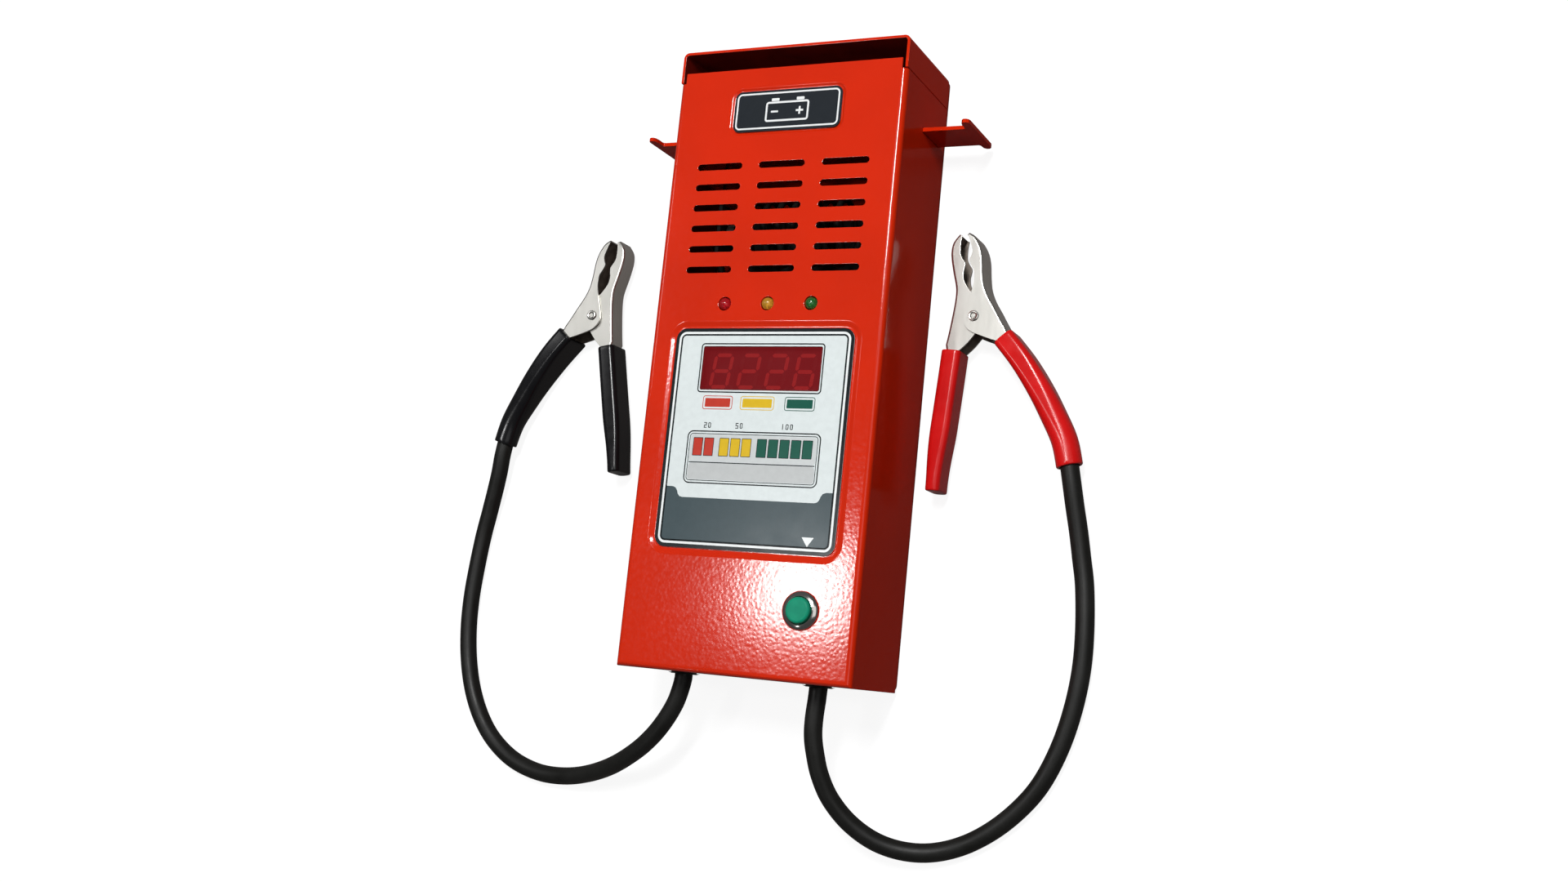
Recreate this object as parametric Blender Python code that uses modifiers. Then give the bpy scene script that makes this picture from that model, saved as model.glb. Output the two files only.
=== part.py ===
"""Battery load tester: a folded steel case with a lid, a front panel with a display, lamps and
a push button, a load coil inside, and two leads that end in spring clamps.

Metres, +Z up. The tester lies on its rear cover. X runs across the case, Y along it towards the
lid and Z out of the front panel. The origin is the centre of the rear cover's outer face.
"""
import math

import bmesh
import bpy
from mathutils import Matrix, Vector

# Clearance between pieces that touch, and the number of sides on round shapes
GAP = 0.0003
WELD = 0.000005
ROUND = 20
SMALL_ROUND = 10

# Folded case
CASE_WIDTH = 0.100
CASE_HEIGHT = 0.252
CASE_DEPTH = 0.0484
SHEET = 0.0012
BEND_RADIUS = 0.0024
BEND_STEPS = 4
SIDE_FLANGE = 0.011
FLANGE_RELIEF = 0.001
REAR_SHEET = 0.002
REAR_MARGIN = 0.0004
LID_SIDE = 0.0132
LID_MOUTH = 0.0092

# Countersunk screws of the rear cover
SCREW_RADIUS = 0.0015
SCREW_HEAD_RADIUS = 0.0029
SCREW_HEAD_HEIGHT = 0.0014
SCREW_SINK = 0.00015
SCREW_LENGTH = 0.0062
COVER_SCREW_ABOVE_BOTTOM = 0.013
COVER_SCREW_BELOW_LID = 0.0165
LID_SCREW_X = 0.030

# Clamp holders on the side walls
HOLDER_SHEET = 0.0015
HOLDER_BELOW_LID = 0.0303
HOLDER_WIDTH = 0.0189
HOLDER_REACH = 0.0215
HOLDER_MIDDLE_Z = 0.01765
HOLDER_END_WIDTH = 0.0310
HOLDER_END_LENGTH = 0.0036
HOLDER_END_MIDDLE_Z = 0.0189
HOLDER_FOOT = 0.018

# Pressed recesses with the face label and the badge
LABEL_WIDTH = 0.0772
LABEL_HEIGHT = 0.0874
LABEL_BOTTOM = 0.0477
LABEL_CORNER = 0.0045
LABEL_RECESS = 0.0008
LABEL_SLOPE = 0.0030
LABEL_SHEET = 0.0004
BADGE_WIDTH = 0.047
BADGE_HEIGHT = 0.017
BADGE_CORNER = 0.003
BADGE_BELOW_EDGE = 0.0183
BADGE_RECESS = 0.0006
BADGE_SLOPE = 0.0012
BADGE_SHEET = 0.0005

# Vent slots
VENT_LENGTH = 0.020
VENT_HEIGHT = 0.0026
VENT_PITCH = 0.00857
VENT_COLUMN = 0.02755
VENT_COLUMNS = 3
VENT_ABOVE_LAMPS = 0.01405
VENT_BELOW_BADGE = 0.0140

# Display window, display, circuit board and what it carries
WINDOW_WIDTH = 0.0513
WINDOW_HEIGHT = 0.0172
WINDOW_BELOW_TOP = 0.0160
WINDOW_CORNER = 0.0006
WINDOW_RIM = 0.0016
WINDOW_RIM_SHEET = 0.0010
DISPLAY_WIDTH = 0.0503
DISPLAY_HEIGHT = 0.0190
DISPLAY_DEPTH = 0.0080
BOARD_WIDTH = 0.080
BOARD_SHEET = 0.0016
BOARD_LOW = 0.0045
BOARD_HIGH = 0.0060
BOARD_EDGE = 0.004
POST_RADIUS = 0.0032
BOARD_SCREW_RADIUS = 0.0013
BOARD_SCREW_HEAD = 0.0028
BOARD_SCREW_HEAD_HEIGHT = 0.0018
BOARD_SCREW_LENGTH = 0.0060
POST_BORE = 0.0060
CHIP_SIZE = (0.0500, 0.0140, 0.0040)

# Lamps
LAMP_RADIUS = 0.0025
LAMP_RIM = 0.0004
LAMP_RIM_HEIGHT = 0.0010
LAMP_LENGTH = 0.0086
LAMP_PROUD = 0.0016
LAMP_SPACING = 0.01875
LAMP_ABOVE_LABEL = 0.0100
LAMP_LEG = 0.0006
LAMP_LEG_SPACING = 0.00254

# Push button
BUTTON_X = 0.0273
BUTTON_HEIGHT = 0.0268
BUTTON_RADIUS = 0.0050
BUTTON_PROUD = 0.0037
BUTTON_EDGE = 0.0010
BUTTON_TRAVEL = 0.0025
BUTTON_SHOULDER = 0.0006
BUTTON_SHOULDER_HEIGHT = 0.0012
BUTTON_STEM_RADIUS = 0.0016
BUTTON_STEM_REACH = 0.0018
BEZEL_RADIUS = 0.0075
BEZEL_HEIGHT = 0.0019
BEZEL_LIP = 0.0012
BARREL_WALL = 0.0008
BARREL_DEPTH = 0.0090
BARREL_FLOOR = 0.0012
NUT_ACROSS_CORNERS = 0.0190
NUT_HEIGHT = 0.0024
SWITCH_WIDTH = 0.0150
SWITCH_DEPTH = 0.0095
SWITCH_BLADE = (0.0008, 0.0048, 0.0040)
SWITCH_BLADE_SPACING = 0.0060
SPRING_WIRE = 0.0006
SPRING_RADIUS = 0.0042
SPRING_TURNS = 5

# Leads and what they pass through
LEAD_DIAMETER = 0.0072
LEAD_LEFT_X = 0.0305
LEAD_RIGHT_X = 0.0282
LEAD_Z = 0.0270
GROMMET_WALL = 0.0012
GROMMET_LIP = 0.0005
GROMMET_COLLAR = 0.0015
GROMMET_OVERHANG = 0.0010
LUG_SHEET = 0.0016
LUG_WIDTH = 0.0140
LUG_BARREL_RADIUS = 0.0036
LUG_BARREL_LENGTH = 0.0100
BOLT_RADIUS = 0.0030
BOLT_HEAD_RADIUS = 0.0055
BOLT_HEAD_HEIGHT = 0.0040

# Carriers on the rear cover
BOSS_RADIUS = 0.0035
BOSS_HEIGHT = 0.0030
INNER_SCREW_RADIUS = 0.0013
INNER_SCREW_HEAD = 0.0026
INNER_SCREW_HEAD_HEIGHT = 0.0018
BLOCK_WIDTH = 0.058
BLOCK_LENGTH = 0.018
BLOCK_HEIGHT = 0.006
BLOCK_UP = 0.062
BLOCK_PEG_X = 0.009
BOLT_X = 0.022
RELAY_WIDTH = 0.030
RELAY_LENGTH = 0.030
RELAY_HEIGHT = 0.0185
RELAY_TAB_LENGTH = 0.012
RELAY_TAB_WIDTH = 0.014
RELAY_TAB_SHEET = 0.002
RELAY_ABOVE_BLOCK = 0.011

# Load coil on its bracket
COIL_RADIUS = 0.013
COIL_WIRE = 0.0024
COIL_TURNS = 8
COIL_PITCH = 0.0065
COIL_POINTS = 8
COIL_TAIL = 0.0150
COIL_END_TURN = 0.75
COIL_CLEAR = 0.003
BRACKET_SHEET = 0.0015
BRACKET_WIDTH = 0.022
BRACKET_ABOVE_COIL = 0.009
BUSHING_LENGTH = 0.009
BUSHING_WALL = 0.0014
BUSHING_FLANGE = 0.0016
BUSHING_FLANGE_HEIGHT = 0.0030
HOOKUP_RADIUS = 0.0016

# Spring clamps, in a frame with the rivet at the origin and the jaws towards +Y
CLAMP_SHEET = 0.0009
CLAMP_HALF_WIDTH = 0.0061
CLAMP_HANDLE_HALF = 0.0026
CLAMP_LEVER_HALF = 0.0023
SLEEVE_WALL = 0.0014
SLEEVE_CORNER = 0.0024
SLEEVE_END_RADIUS = 0.0051
SLEEVE_BORE_CLEARANCE = 0.0005
LEVER_SLEEVE_END_HALF = 0.00295
LEVER_SLEEVE_END_CORNER = 0.0025
# Shares of a sleeve's length where its skin, its hollow and the loose handle's sleeve start to change
SLEEVE_ROUNDS_FROM = 0.2
SLEEVE_HOLLOW_ROUNDS = (0.42, 0.62)
LEVER_SLEEVE_NARROWS_FROM = 0.6
FLOOR_CLEARANCE = 0.0001
RIVET_RADIUS = 0.0015
RIVET_HEAD_RADIUS = 0.0021
RIVET_HEAD_HEIGHT = 0.0005
TORSION_WIRE = 0.0007
TORSION_RADIUS = 0.0026
TORSION_TURNS = 4

# Back of the jaw that carries the lead, from its lower corner up to its tip
JAW_BACK = (
    (0.0141, -0.0055), (0.0117, -0.0021), (0.0084, 0.0033), (0.0052, 0.0084), (0.0033, 0.0128),
    (0.0024, 0.0175), (0.0016, 0.0242), (0.0003, 0.0285), (-0.0021, 0.0323), (-0.0047, 0.0340),
)
# Biting edge of that jaw from its tip down, and the rounded edge of its cheek round the rivet
JAW_MOUTH = (
    (-0.0052, 0.0332), (-0.0040, 0.0304), (-0.0028, 0.0268), (-0.0030, 0.0247), (-0.0037, 0.0227),
    (-0.0027, 0.0204), (-0.0013, 0.0179), (-0.0011, 0.0141), (-0.0016, 0.0108), (-0.0023, 0.0072),
    (-0.0035, 0.0029), (-0.0042, -0.0005), (-0.0037, -0.0030), (-0.0020, -0.0052),
    (0.0008, -0.0068), (0.0055, -0.0085), (0.0096, -0.0098),
)
# Middle line of the handle that carries the lead, and of its sleeve below the handle's end
HANDLE_LINE = ((0.0124, -0.0082), (0.0202, -0.0173), (0.0276, -0.0279))
SLEEVE_TAIL = ((0.0334, -0.0378), (0.0384, -0.0475), (0.0411, -0.0573))
# Back of the loose jaw, its biting edge, and its cheek round the rivet
LEVER_BACK = (
    (-0.0115, -0.0128), (-0.0108, -0.0090), (-0.0098, -0.0020), (-0.0090, 0.0052),
    (-0.0088, 0.0098), (-0.0092, 0.0129), (-0.0106, 0.0180), (-0.0118, 0.0232),
    (-0.0122, 0.0268), (-0.0116, 0.0304), (-0.0092, 0.0338),
)
LEVER_MOUTH = (
    (-0.0079, 0.0331), (-0.0083, 0.0299), (-0.0081, 0.0258), (-0.0071, 0.0237), (-0.0058, 0.0216),
    (-0.0060, 0.0191), (-0.0062, 0.0175), (-0.0057, 0.0148), (-0.0042, 0.0122), (-0.0020, 0.0095),
    (0.0015, 0.0062), (0.0036, 0.0026), (0.0038, -0.0015), (0.0024, -0.0050), (0.0008, -0.0068),
    (-0.0020, -0.0104), (-0.0052, -0.0136),
)
LEVER_LINE = ((-0.0084, -0.0135), (-0.0102, -0.0255), (-0.0127, -0.0415))
LEVER_SLEEVE_TAIL = ((-0.0150, -0.0560), (-0.0164, -0.0690))
# How far out the hollow between the cheeks is cut on the open side of each half, past its edges
JAW_OPEN_SIDE = ((-0.0065, 0.0335), (-0.014, 0.031), (-0.014, -0.010), (0.010, -0.018), (0.024, -0.034))
LEVER_OPEN_SIDE = ((-0.0066, 0.0335), (0.010, 0.031), (0.010, -0.010), (0.0, -0.018), (-0.004, -0.050))
# Where the ends of the torsion spring bear on the two backs
TORSION_ENDS = ((-0.0087, -0.0080), (0.0114, -0.0046))

# Place of each clamp's rivet, the hand it is made in, and how far its loose handle is bent
CLAMP_SIDES = {
    "left": {"hand": -1, "rivet": (-0.1022, 0.0235), "bend": math.radians(-3.1)},
    "right": {"hand": 1, "rivet": (0.0731, 0.0223), "bend": math.radians(5.1)},
}
# Route of each lead from its grommet to its clamp, lying on the table past the first bend
LEAD_ROUTES = {
    "left": (
        (-0.0305, -0.1255, 0.0270), (-0.0305, -0.1285, 0.0270), (-0.0312, -0.1325, 0.0270),
        (-0.0332, -0.1385, 0.0266), (-0.0375, -0.1457, 0.0256), (-0.0437, -0.1527, 0.0236),
        (-0.0525, -0.1595, 0.0202),
        (-0.0660, -0.1667, 0.0142), (-0.0805, -0.1717, 0.0086), (-0.0945, -0.1743, 0.0049),
        (-0.1080, -0.1742, 0.0037), (-0.1210, -0.1706, 0.0037), (-0.1320, -0.1638, 0.0037),
        (-0.1402, -0.1550, 0.0037), (-0.1466, -0.1438, 0.0037), (-0.1509, -0.1310, 0.0037),
        (-0.1533, -0.1170, 0.0037), (-0.1539, -0.1030, 0.0037), (-0.1531, -0.0890, 0.0037),
        (-0.1516, -0.0750, 0.0038), (-0.1492, -0.0640, 0.0047), (-0.1467, -0.0535, 0.0060),
        (-0.1451, -0.0460, 0.0070), (-0.1442, -0.0395, 0.0077), (-0.1433, -0.0338, 0.0079),
        (-0.1410, -0.0255, 0.0079),
    ),
    "right": (
        (0.0282, -0.1255, 0.0270), (0.0280, -0.1315, 0.0270), (0.0275, -0.1385, 0.0268),
        (0.0275, -0.1450, 0.0262), (0.0285, -0.1515, 0.0251), (0.0304, -0.1595, 0.0230),
        (0.0342, -0.1680, 0.0198), (0.0410, -0.1760, 0.0158), (0.0500, -0.1818, 0.0118),
        (0.0600, -0.1844, 0.0081), (0.0710, -0.1839, 0.0053), (0.0825, -0.1800, 0.0039),
        (0.0935, -0.1732, 0.0037), (0.1033, -0.1642, 0.0037), (0.1110, -0.1540, 0.0037),
        (0.1170, -0.1407, 0.0037), (0.1210, -0.1262, 0.0037), (0.1232, -0.1110, 0.0037),
        (0.1234, -0.0960, 0.0037), (0.1222, -0.0800, 0.0037), (0.1203, -0.0690, 0.0040),
        (0.1186, -0.0590, 0.0049), (0.1169, -0.0500, 0.0062), (0.1155, -0.0420, 0.0073),
        (0.1142, -0.0350, 0.0079), (0.1119, -0.0267, 0.0079),
    ),
}
LEAD_STEP = 2 * LEAD_DIAMETER
# How far each route starts inside the outer face of the bottom wall
LEAD_START = 0.0005
# Route of a lead's inner end: share of the way across to its bolt, distance up the case, and height
TAIL_ROUTE = (
    (0.00, 0.0030, 0.0270), (0.02, 0.0080, 0.0268), (0.31, 0.0165, 0.0222),
    (0.74, 0.0260, 0.0172), (0.97, 0.0345, 0.0151),
)

# Heights that several pieces share
BOTTOM = -CASE_HEIGHT / 2
TOP = CASE_HEIGHT / 2
FRONT = CASE_DEPTH
SHELL_REAR = REAR_SHEET + GAP
SIDE_TOP = TOP - LID_SIDE - GAP
PANEL_TOP = TOP - LID_MOUTH
LABEL_MIDDLE = BOTTOM + LABEL_BOTTOM + LABEL_HEIGHT / 2
LABEL_TOP = BOTTOM + LABEL_BOTTOM + LABEL_HEIGHT
BADGE_MIDDLE = PANEL_TOP - BADGE_BELOW_EDGE
LAMP_Y = LABEL_TOP + LAMP_ABOVE_LABEL
VENT_LOW = LAMP_Y + VENT_ABOVE_LAMPS
VENT_HIGH = BADGE_MIDDLE - BADGE_HEIGHT / 2 - VENT_BELOW_BADGE
WINDOW_Y = LABEL_TOP - WINDOW_BELOW_TOP
PANEL_INSIDE = FRONT - LABEL_RECESS - SHEET
WINDOW_RIM_REAR = PANEL_INSIDE - GAP - WINDOW_RIM_SHEET
DISPLAY_FRONT = WINDOW_RIM_REAR - GAP
BOARD_FRONT = DISPLAY_FRONT - DISPLAY_DEPTH - GAP
BOARD_REAR = BOARD_FRONT - BOARD_SHEET
BUTTON_Y = BOTTOM + BUTTON_HEIGHT
BOSS_TOP = REAR_SHEET + BOSS_HEIGHT
CARRIER_BASE = BOSS_TOP + GAP
HOLDER_Y = TOP - HOLDER_BELOW_LID
BLOCK_Y = BOTTOM + BLOCK_UP
RELAY_Y = BLOCK_Y + BLOCK_LENGTH / 2 + RELAY_ABOVE_BLOCK + RELAY_LENGTH / 2
RELAY_SCREW_Y = RELAY_Y + (RELAY_LENGTH + RELAY_TAB_LENGTH) / 2
COIL_Y = (VENT_LOW + VENT_HIGH) / 2
COIL_Z = CARRIER_BASE + BRACKET_SHEET + COIL_CLEAR + COIL_RADIUS + COIL_WIRE / 2
COIL_END = COIL_TURNS * COIL_PITCH / 2 + COIL_TAIL
LEVER_HALF_WIDTH = CLAMP_HALF_WIDTH - CLAMP_SHEET - GAP
CLAMP_Z = CLAMP_HALF_WIDTH + GAP + SLEEVE_WALL + FLOOR_CLEARANCE

for old in list(bpy.data.objects):
    bpy.data.objects.remove(old, do_unlink=True)
parts = bpy.data.collections.new("battery_tester")
tools = bpy.data.collections.new("cutters")
bpy.context.scene.collection.children.link(parts)
bpy.context.scene.collection.children.link(tools)


# Outlines and lines

def rounded_rect(width, height, radius, steps=4):
    """Closed outline of a rectangle with round corners, anticlockwise."""
    points = []
    corners = ((1, 1, 0), (-1, 1, 90), (-1, -1, 180), (1, -1, 270))
    for sign_x, sign_y, start in corners:
        for step in range(steps + 1):
            angle = math.radians(start + 90 * step / steps)
            x = sign_x * (width / 2 - radius) + radius * math.cos(angle)
            y = sign_y * (height / 2 - radius) + radius * math.sin(angle)
            points.append((x, y))
    return points


def moved(outline, x, y):
    return [(px + x, py + y) for px, py in outline]


def smooth(points, per_span):
    """Points on a smooth curve through the given ones, with their ends kept."""
    points = [Vector(point) for point in points]
    result = []
    for index in range(len(points) - 1):
        before = points[max(index - 1, 0)]
        start, end = points[index], points[index + 1]
        after = points[min(index + 2, len(points) - 1)]
        for step in range(per_span):
            t = step / per_span
            result.append(
                start * (2 * t**3 - 3 * t**2 + 1) + end * (3 * t**2 - 2 * t**3)
                + (end - before) / 2 * (t**3 - 2 * t**2 + t) + (after - start) / 2 * (t**3 - t**2)
            )
    return result + [points[-1]]


def evenly(points, step):
    """Points a near-equal step apart along the smooth curve through the given ones."""
    fine = smooth(points, 16)
    lengths = [0.0]
    for start, end in zip(fine, fine[1:]):
        lengths.append(lengths[-1] + (end - start).length)
    count = max(2, round(lengths[-1] / step))
    result = []
    place = 0
    for number in range(count + 1):
        target = lengths[-1] * number / count
        while place < len(fine) - 2 and lengths[place + 1] < target:
            place += 1
        share = (target - lengths[place]) / (lengths[place + 1] - lengths[place])
        result.append(fine[place].lerp(fine[place + 1], share))
    return result


def squared(points, step):
    """As evenly, but the first and the last stretch stay straight, so that the ends are square."""
    return [Vector(points[0])] + evenly(points[1:-1], step) + [Vector(points[-1])]


def beside(line, distance):
    """The line moved sideways in XY, to its left for a positive distance."""
    result = []
    for index, point in enumerate(line):
        before = line[max(index - 1, 0)]
        after = line[min(index + 1, len(line) - 1)]
        along = (Vector(after[:2]) - Vector(before[:2])).normalized()
        result.append(Vector((point[0] - along.y * distance, point[1] + along.x * distance)))
    return result


def least_gap(points, radius, neighbours):
    """Smallest clear distance between stretches of one tube that aren't next to each other."""
    distances = [
        (points[first] - points[second]).length
        for first in range(len(points))
        for second in range(first + neighbours, len(points))
    ]
    return min(distances) - 2 * radius


# Making and joining shapes

def as_mesh(source):
    """Turn a curve, or an object with modifiers, into a plain welded mesh object."""
    bpy.context.view_layer.update()
    evaluated = source.evaluated_get(bpy.context.evaluated_depsgraph_get())
    mesh = bpy.data.meshes.new_from_object(evaluated)
    work = bmesh.new()
    work.from_mesh(mesh)
    bmesh.ops.remove_doubles(work, verts=work.verts, dist=WELD)
    bmesh.ops.recalc_face_normals(work, faces=work.faces)
    work.to_mesh(mesh)
    work.free()
    name = source.name
    matrix = source.matrix_world.copy()
    bpy.data.objects.remove(source, do_unlink=True)
    result = bpy.data.objects.new(name, mesh)
    result.matrix_world = matrix
    tools.objects.link(result)
    return result


def from_bmesh(name, work):
    mesh = bpy.data.meshes.new(name)
    work.to_mesh(mesh)
    work.free()
    result = bpy.data.objects.new(name, mesh)
    tools.objects.link(result)
    return result


def plate(name, outlines, thickness, at=(0, 0, 0), turn=(0, 0, 0)):
    """A flat piece from closed outlines in its own XY, with its thickness on both sides."""
    curve = bpy.data.curves.new(name, "CURVE")
    curve.dimensions = "2D"
    curve.fill_mode = "BOTH"
    curve.extrude = thickness / 2
    for outline in outlines:
        spline = curve.splines.new("POLY")
        spline.points.add(len(outline) - 1)
        for point, place in zip(spline.points, outline):
            point.co = (place[0], place[1], 0.0, 1.0)
        spline.use_cyclic_u = True
    source = bpy.data.objects.new(name, curve)
    source.location = at
    source.rotation_euler = turn
    tools.objects.link(source)
    return as_mesh(source)


def box(name, low, high):
    """A block between two opposite corners, with its origin in its middle."""
    low, high = Vector(low), Vector(high)
    work = bmesh.new()
    bmesh.ops.create_cube(work, size=1.0, matrix=Matrix.Diagonal((*(high - low), 1.0)))
    result = from_bmesh(name, work)
    result.location = (low + high) / 2
    return result


def rod(name, radius, length, at, axis="Z", sides=SMALL_ROUND):
    """A cylinder with its middle at a point."""
    work = bmesh.new()
    bmesh.ops.create_cone(
        work, cap_ends=True, segments=sides, radius1=radius, radius2=radius, depth=length
    )
    result = from_bmesh(name, work)
    result.location = at
    result.rotation_euler = {"X": (0, math.pi / 2, 0), "Y": (math.pi / 2, 0, 0), "Z": (0, 0, 0)}[axis]
    return result


def turned(name, profile, at, sides, ring=False, turn=(0, 0, 0)):
    """A turned piece: (radius, height) pairs down its outer side, closed to a ring if asked."""
    count = len(profile)
    edges = [(index, index + 1) for index in range(count - 1)]
    if ring:
        edges.append((count - 1, 0))
    mesh = bpy.data.meshes.new(name)
    mesh.from_pydata([(radius, 0.0, height) for radius, height in profile], edges, [])
    source = bpy.data.objects.new(name, mesh)
    source.location = at
    source.rotation_euler = turn
    tools.objects.link(source)
    screw = source.modifiers.new("turn", "SCREW")
    screw.steps = sides
    screw.render_steps = sides
    screw.use_merge_vertices = True
    screw.merge_threshold = WELD
    return as_mesh(source)


def tube(name, points, radius, resolution=2):
    """A round wire along points."""
    curve = bpy.data.curves.new(name, "CURVE")
    curve.dimensions = "3D"
    curve.bevel_depth = radius
    curve.bevel_resolution = resolution
    curve.use_fill_caps = True
    spline = curve.splines.new("POLY")
    spline.points.add(len(points) - 1)
    for point, place in zip(spline.points, points):
        point.co = (*place, 1.0)
    result = bpy.data.objects.new(name, curve)
    tools.objects.link(result)
    return result


def merge(name, pieces):
    """Several shapes as separate bodies of one object."""
    bpy.context.view_layer.update()
    work = bmesh.new()
    for piece in pieces:
        mesh = piece.data.copy()
        mesh.transform(piece.matrix_world)
        work.from_mesh(mesh)
        bpy.data.meshes.remove(mesh)
        bpy.data.objects.remove(piece, do_unlink=True)
    return from_bmesh(name, work)


def combine(target, tool, operation):
    tool.hide_render = True
    tool.display_type = "WIRE"
    modifier = target.modifiers.new(tool.name, "BOOLEAN")
    modifier.operation = operation
    modifier.object = tool
    return target


def cut(target, tool):
    return combine(target, tool, "DIFFERENCE")


def fuse(target, tool):
    return combine(target, tool, "UNION")


def soften(target, width, segments=1):
    """Round the sharp edges of a block."""
    bevel = target.modifiers.new("edges", "BEVEL")
    bevel.width = width
    bevel.segments = segments
    bevel.limit_method = "ANGLE"
    return target


def finish(obj, colour, roughness, metallic=0.0, parent=None):
    """Give a piece its material and put it in the part's collection."""
    material = bpy.data.materials.new(obj.name)
    material.use_nodes = True
    shader = material.node_tree.nodes["Principled BSDF"]
    shader.inputs["Base Color"].default_value = (*colour, 1.0)
    shader.inputs["Roughness"].default_value = roughness
    shader.inputs["Metallic"].default_value = metallic
    obj.data.materials.clear()
    obj.data.materials.append(material)
    if obj.type == "MESH":
        obj.data.shade_smooth()
        obj.data.set_sharp_from_angle(angle=math.radians(35))
    tools.objects.unlink(obj)
    parts.objects.link(obj)
    if parent:
        obj.parent = parent
        for modifier in obj.modifiers:
            modifier.object.parent = parent
    return obj


RED_PAINT = ((0.62, 0.03, 0.008), 0.38)
BLACK_RUBBER = ((0.012, 0.012, 0.011), 0.55)
BRIGHT_STEEL = ((0.62, 0.62, 0.60), 0.28, 1.0)
DARK_PLASTIC = ((0.02, 0.02, 0.022), 0.45)
COPPER = ((0.80, 0.42, 0.25), 0.35, 1.0)
CHROME = ((0.75, 0.75, 0.74), 0.12, 1.0)
ZINC = ((0.55, 0.55, 0.53), 0.4, 1.0)
RESISTANCE_WIRE = ((0.30, 0.29, 0.28), 0.45, 1.0)
PALE_FILM = ((0.72, 0.78, 0.78), 0.35)
DARK_FILM = ((0.02, 0.024, 0.028), 0.3)
RED_FILTER = ((0.16, 0.004, 0.006), 0.15)
DISPLAY_BLACK = ((0.05, 0.02, 0.02), 0.5)
LAMINATE = ((0.01, 0.11, 0.05), 0.5)
BUTTON_GREEN = ((0.01, 0.42, 0.24), 0.3)
PHENOLIC = ((0.05, 0.02, 0.012), 0.5)
CERAMIC = ((0.75, 0.72, 0.66), 0.5)
RED_INSULATION = ((0.35, 0.02, 0.01), 0.5)
BLACK_INSULATION = ((0.015, 0.015, 0.015), 0.5)
RED_VINYL = ((0.55, 0.008, 0.008), 0.25)
BLACK_VINYL = ((0.01, 0.01, 0.011), 0.25)
LAMP_COLOURS = {"red": (0.45, 0.01, 0.02), "yellow": (0.75, 0.30, 0.02), "green": (0.02, 0.16, 0.03)}
LAMP_ROUGHNESS = 0.12


# Folded case, lid and rear cover

def facing(face):
    """The side that a face of an upright block looks to, such as +X."""
    normal = face.normal
    axis = max(range(3), key=lambda index: abs(normal[index]))
    return ("+" if normal[axis] > 0 else "-") + "XYZ"[axis]


def folded(low, high, open_sides, bends):
    """The surface of an open sheet box with rounded bends, as a bmesh."""
    low, high = Vector(low), Vector(high)
    work = bmesh.new()
    place = Matrix.Translation((low + high) / 2) @ Matrix.Diagonal((*(high - low), 1.0))
    bmesh.ops.create_cube(work, size=1.0, matrix=place)
    work.normal_update()
    wanted = [frozenset(bend) for bend in bends]
    edges = [e for e in work.edges if frozenset(facing(f) for f in e.link_faces) in wanted]
    gone = [face for face in work.faces if facing(face) in open_sides]
    bmesh.ops.delete(work, geom=gone, context="FACES")
    bmesh.ops.bevel(
        work, geom=edges, offset=BEND_RADIUS, offset_type="OFFSET", segments=BEND_STEPS,
        profile=0.5, affect="EDGES",
    )
    return work


def sheet_metal(name, work):
    """The open surface given the sheet's thickness, inwards."""
    result = from_bmesh(name, work)
    solidify = result.modifiers.new("sheet", "SOLIDIFY")
    solidify.thickness = SHEET
    solidify.offset = -1.0
    solidify.use_even_offset = True
    return result


def tapered_pad(name, width, height, corner, grow, middle_y, low_z, high_z):
    """A rounded pad whose upper face is larger by the given margin all round."""
    pad = plate(name, [rounded_rect(width, height, corner)], high_z - low_z)
    for vertex in pad.data.vertices:
        if vertex.co.z > 0:
            vertex.co.x *= (width + 2 * grow) / width
            vertex.co.y *= (height + 2 * grow) / height
    pad.location = (0, middle_y, (low_z + high_z) / 2)
    return pad


def pressed_recess(name, width, height, corner, middle_y, depth, slope):
    """The bump inside the panel and the hollow outside it that pressing the sheet makes."""
    floor_width = width + 2 * GAP
    floor_height = height + 2 * GAP
    into_sheet = SHEET / 2
    bump = tapered_pad(
        name + "_bump", floor_width + slope, floor_height + slope, corner + slope / 2,
        slope, middle_y, FRONT - SHEET - depth, FRONT - SHEET + into_sheet,
    )
    above = depth / 4
    hollow = tapered_pad(
        name + "_hollow", floor_width, floor_height, corner + GAP,
        slope * (depth + above) / depth, middle_y, FRONT - depth, FRONT + above,
    )
    return bump, hollow


def vent_places():
    rows = 1 + int((VENT_HIGH - VENT_LOW) / VENT_PITCH + 0.01)
    for row in range(rows):
        for column in range(VENT_COLUMNS):
            yield (column - (VENT_COLUMNS - 1) / 2) * VENT_COLUMN, VENT_HIGH - row * VENT_PITCH


def lamp_places():
    return {"red": -LAMP_SPACING, "yellow": 0.0, "green": LAMP_SPACING}


def case_screw_places():
    x = CASE_WIDTH / 2 - SHEET - (SIDE_FLANGE - SHEET) / 2
    heights = (BOTTOM + COVER_SCREW_ABOVE_BOTTOM, SIDE_TOP - COVER_SCREW_BELOW_LID)
    return [(side * x, y) for side in (-1, 1) for y in heights]


def lid_screw_places():
    return [(side * LID_SCREW_X, TOP - LID_SIDE / 2) for side in (-1, 1)]


def lead_x(side):
    return LEAD_RIGHT_X if side > 0 else -LEAD_LEFT_X


def grommet_neck():
    return LEAD_DIAMETER / 2 + GAP + GROMMET_WALL


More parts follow.
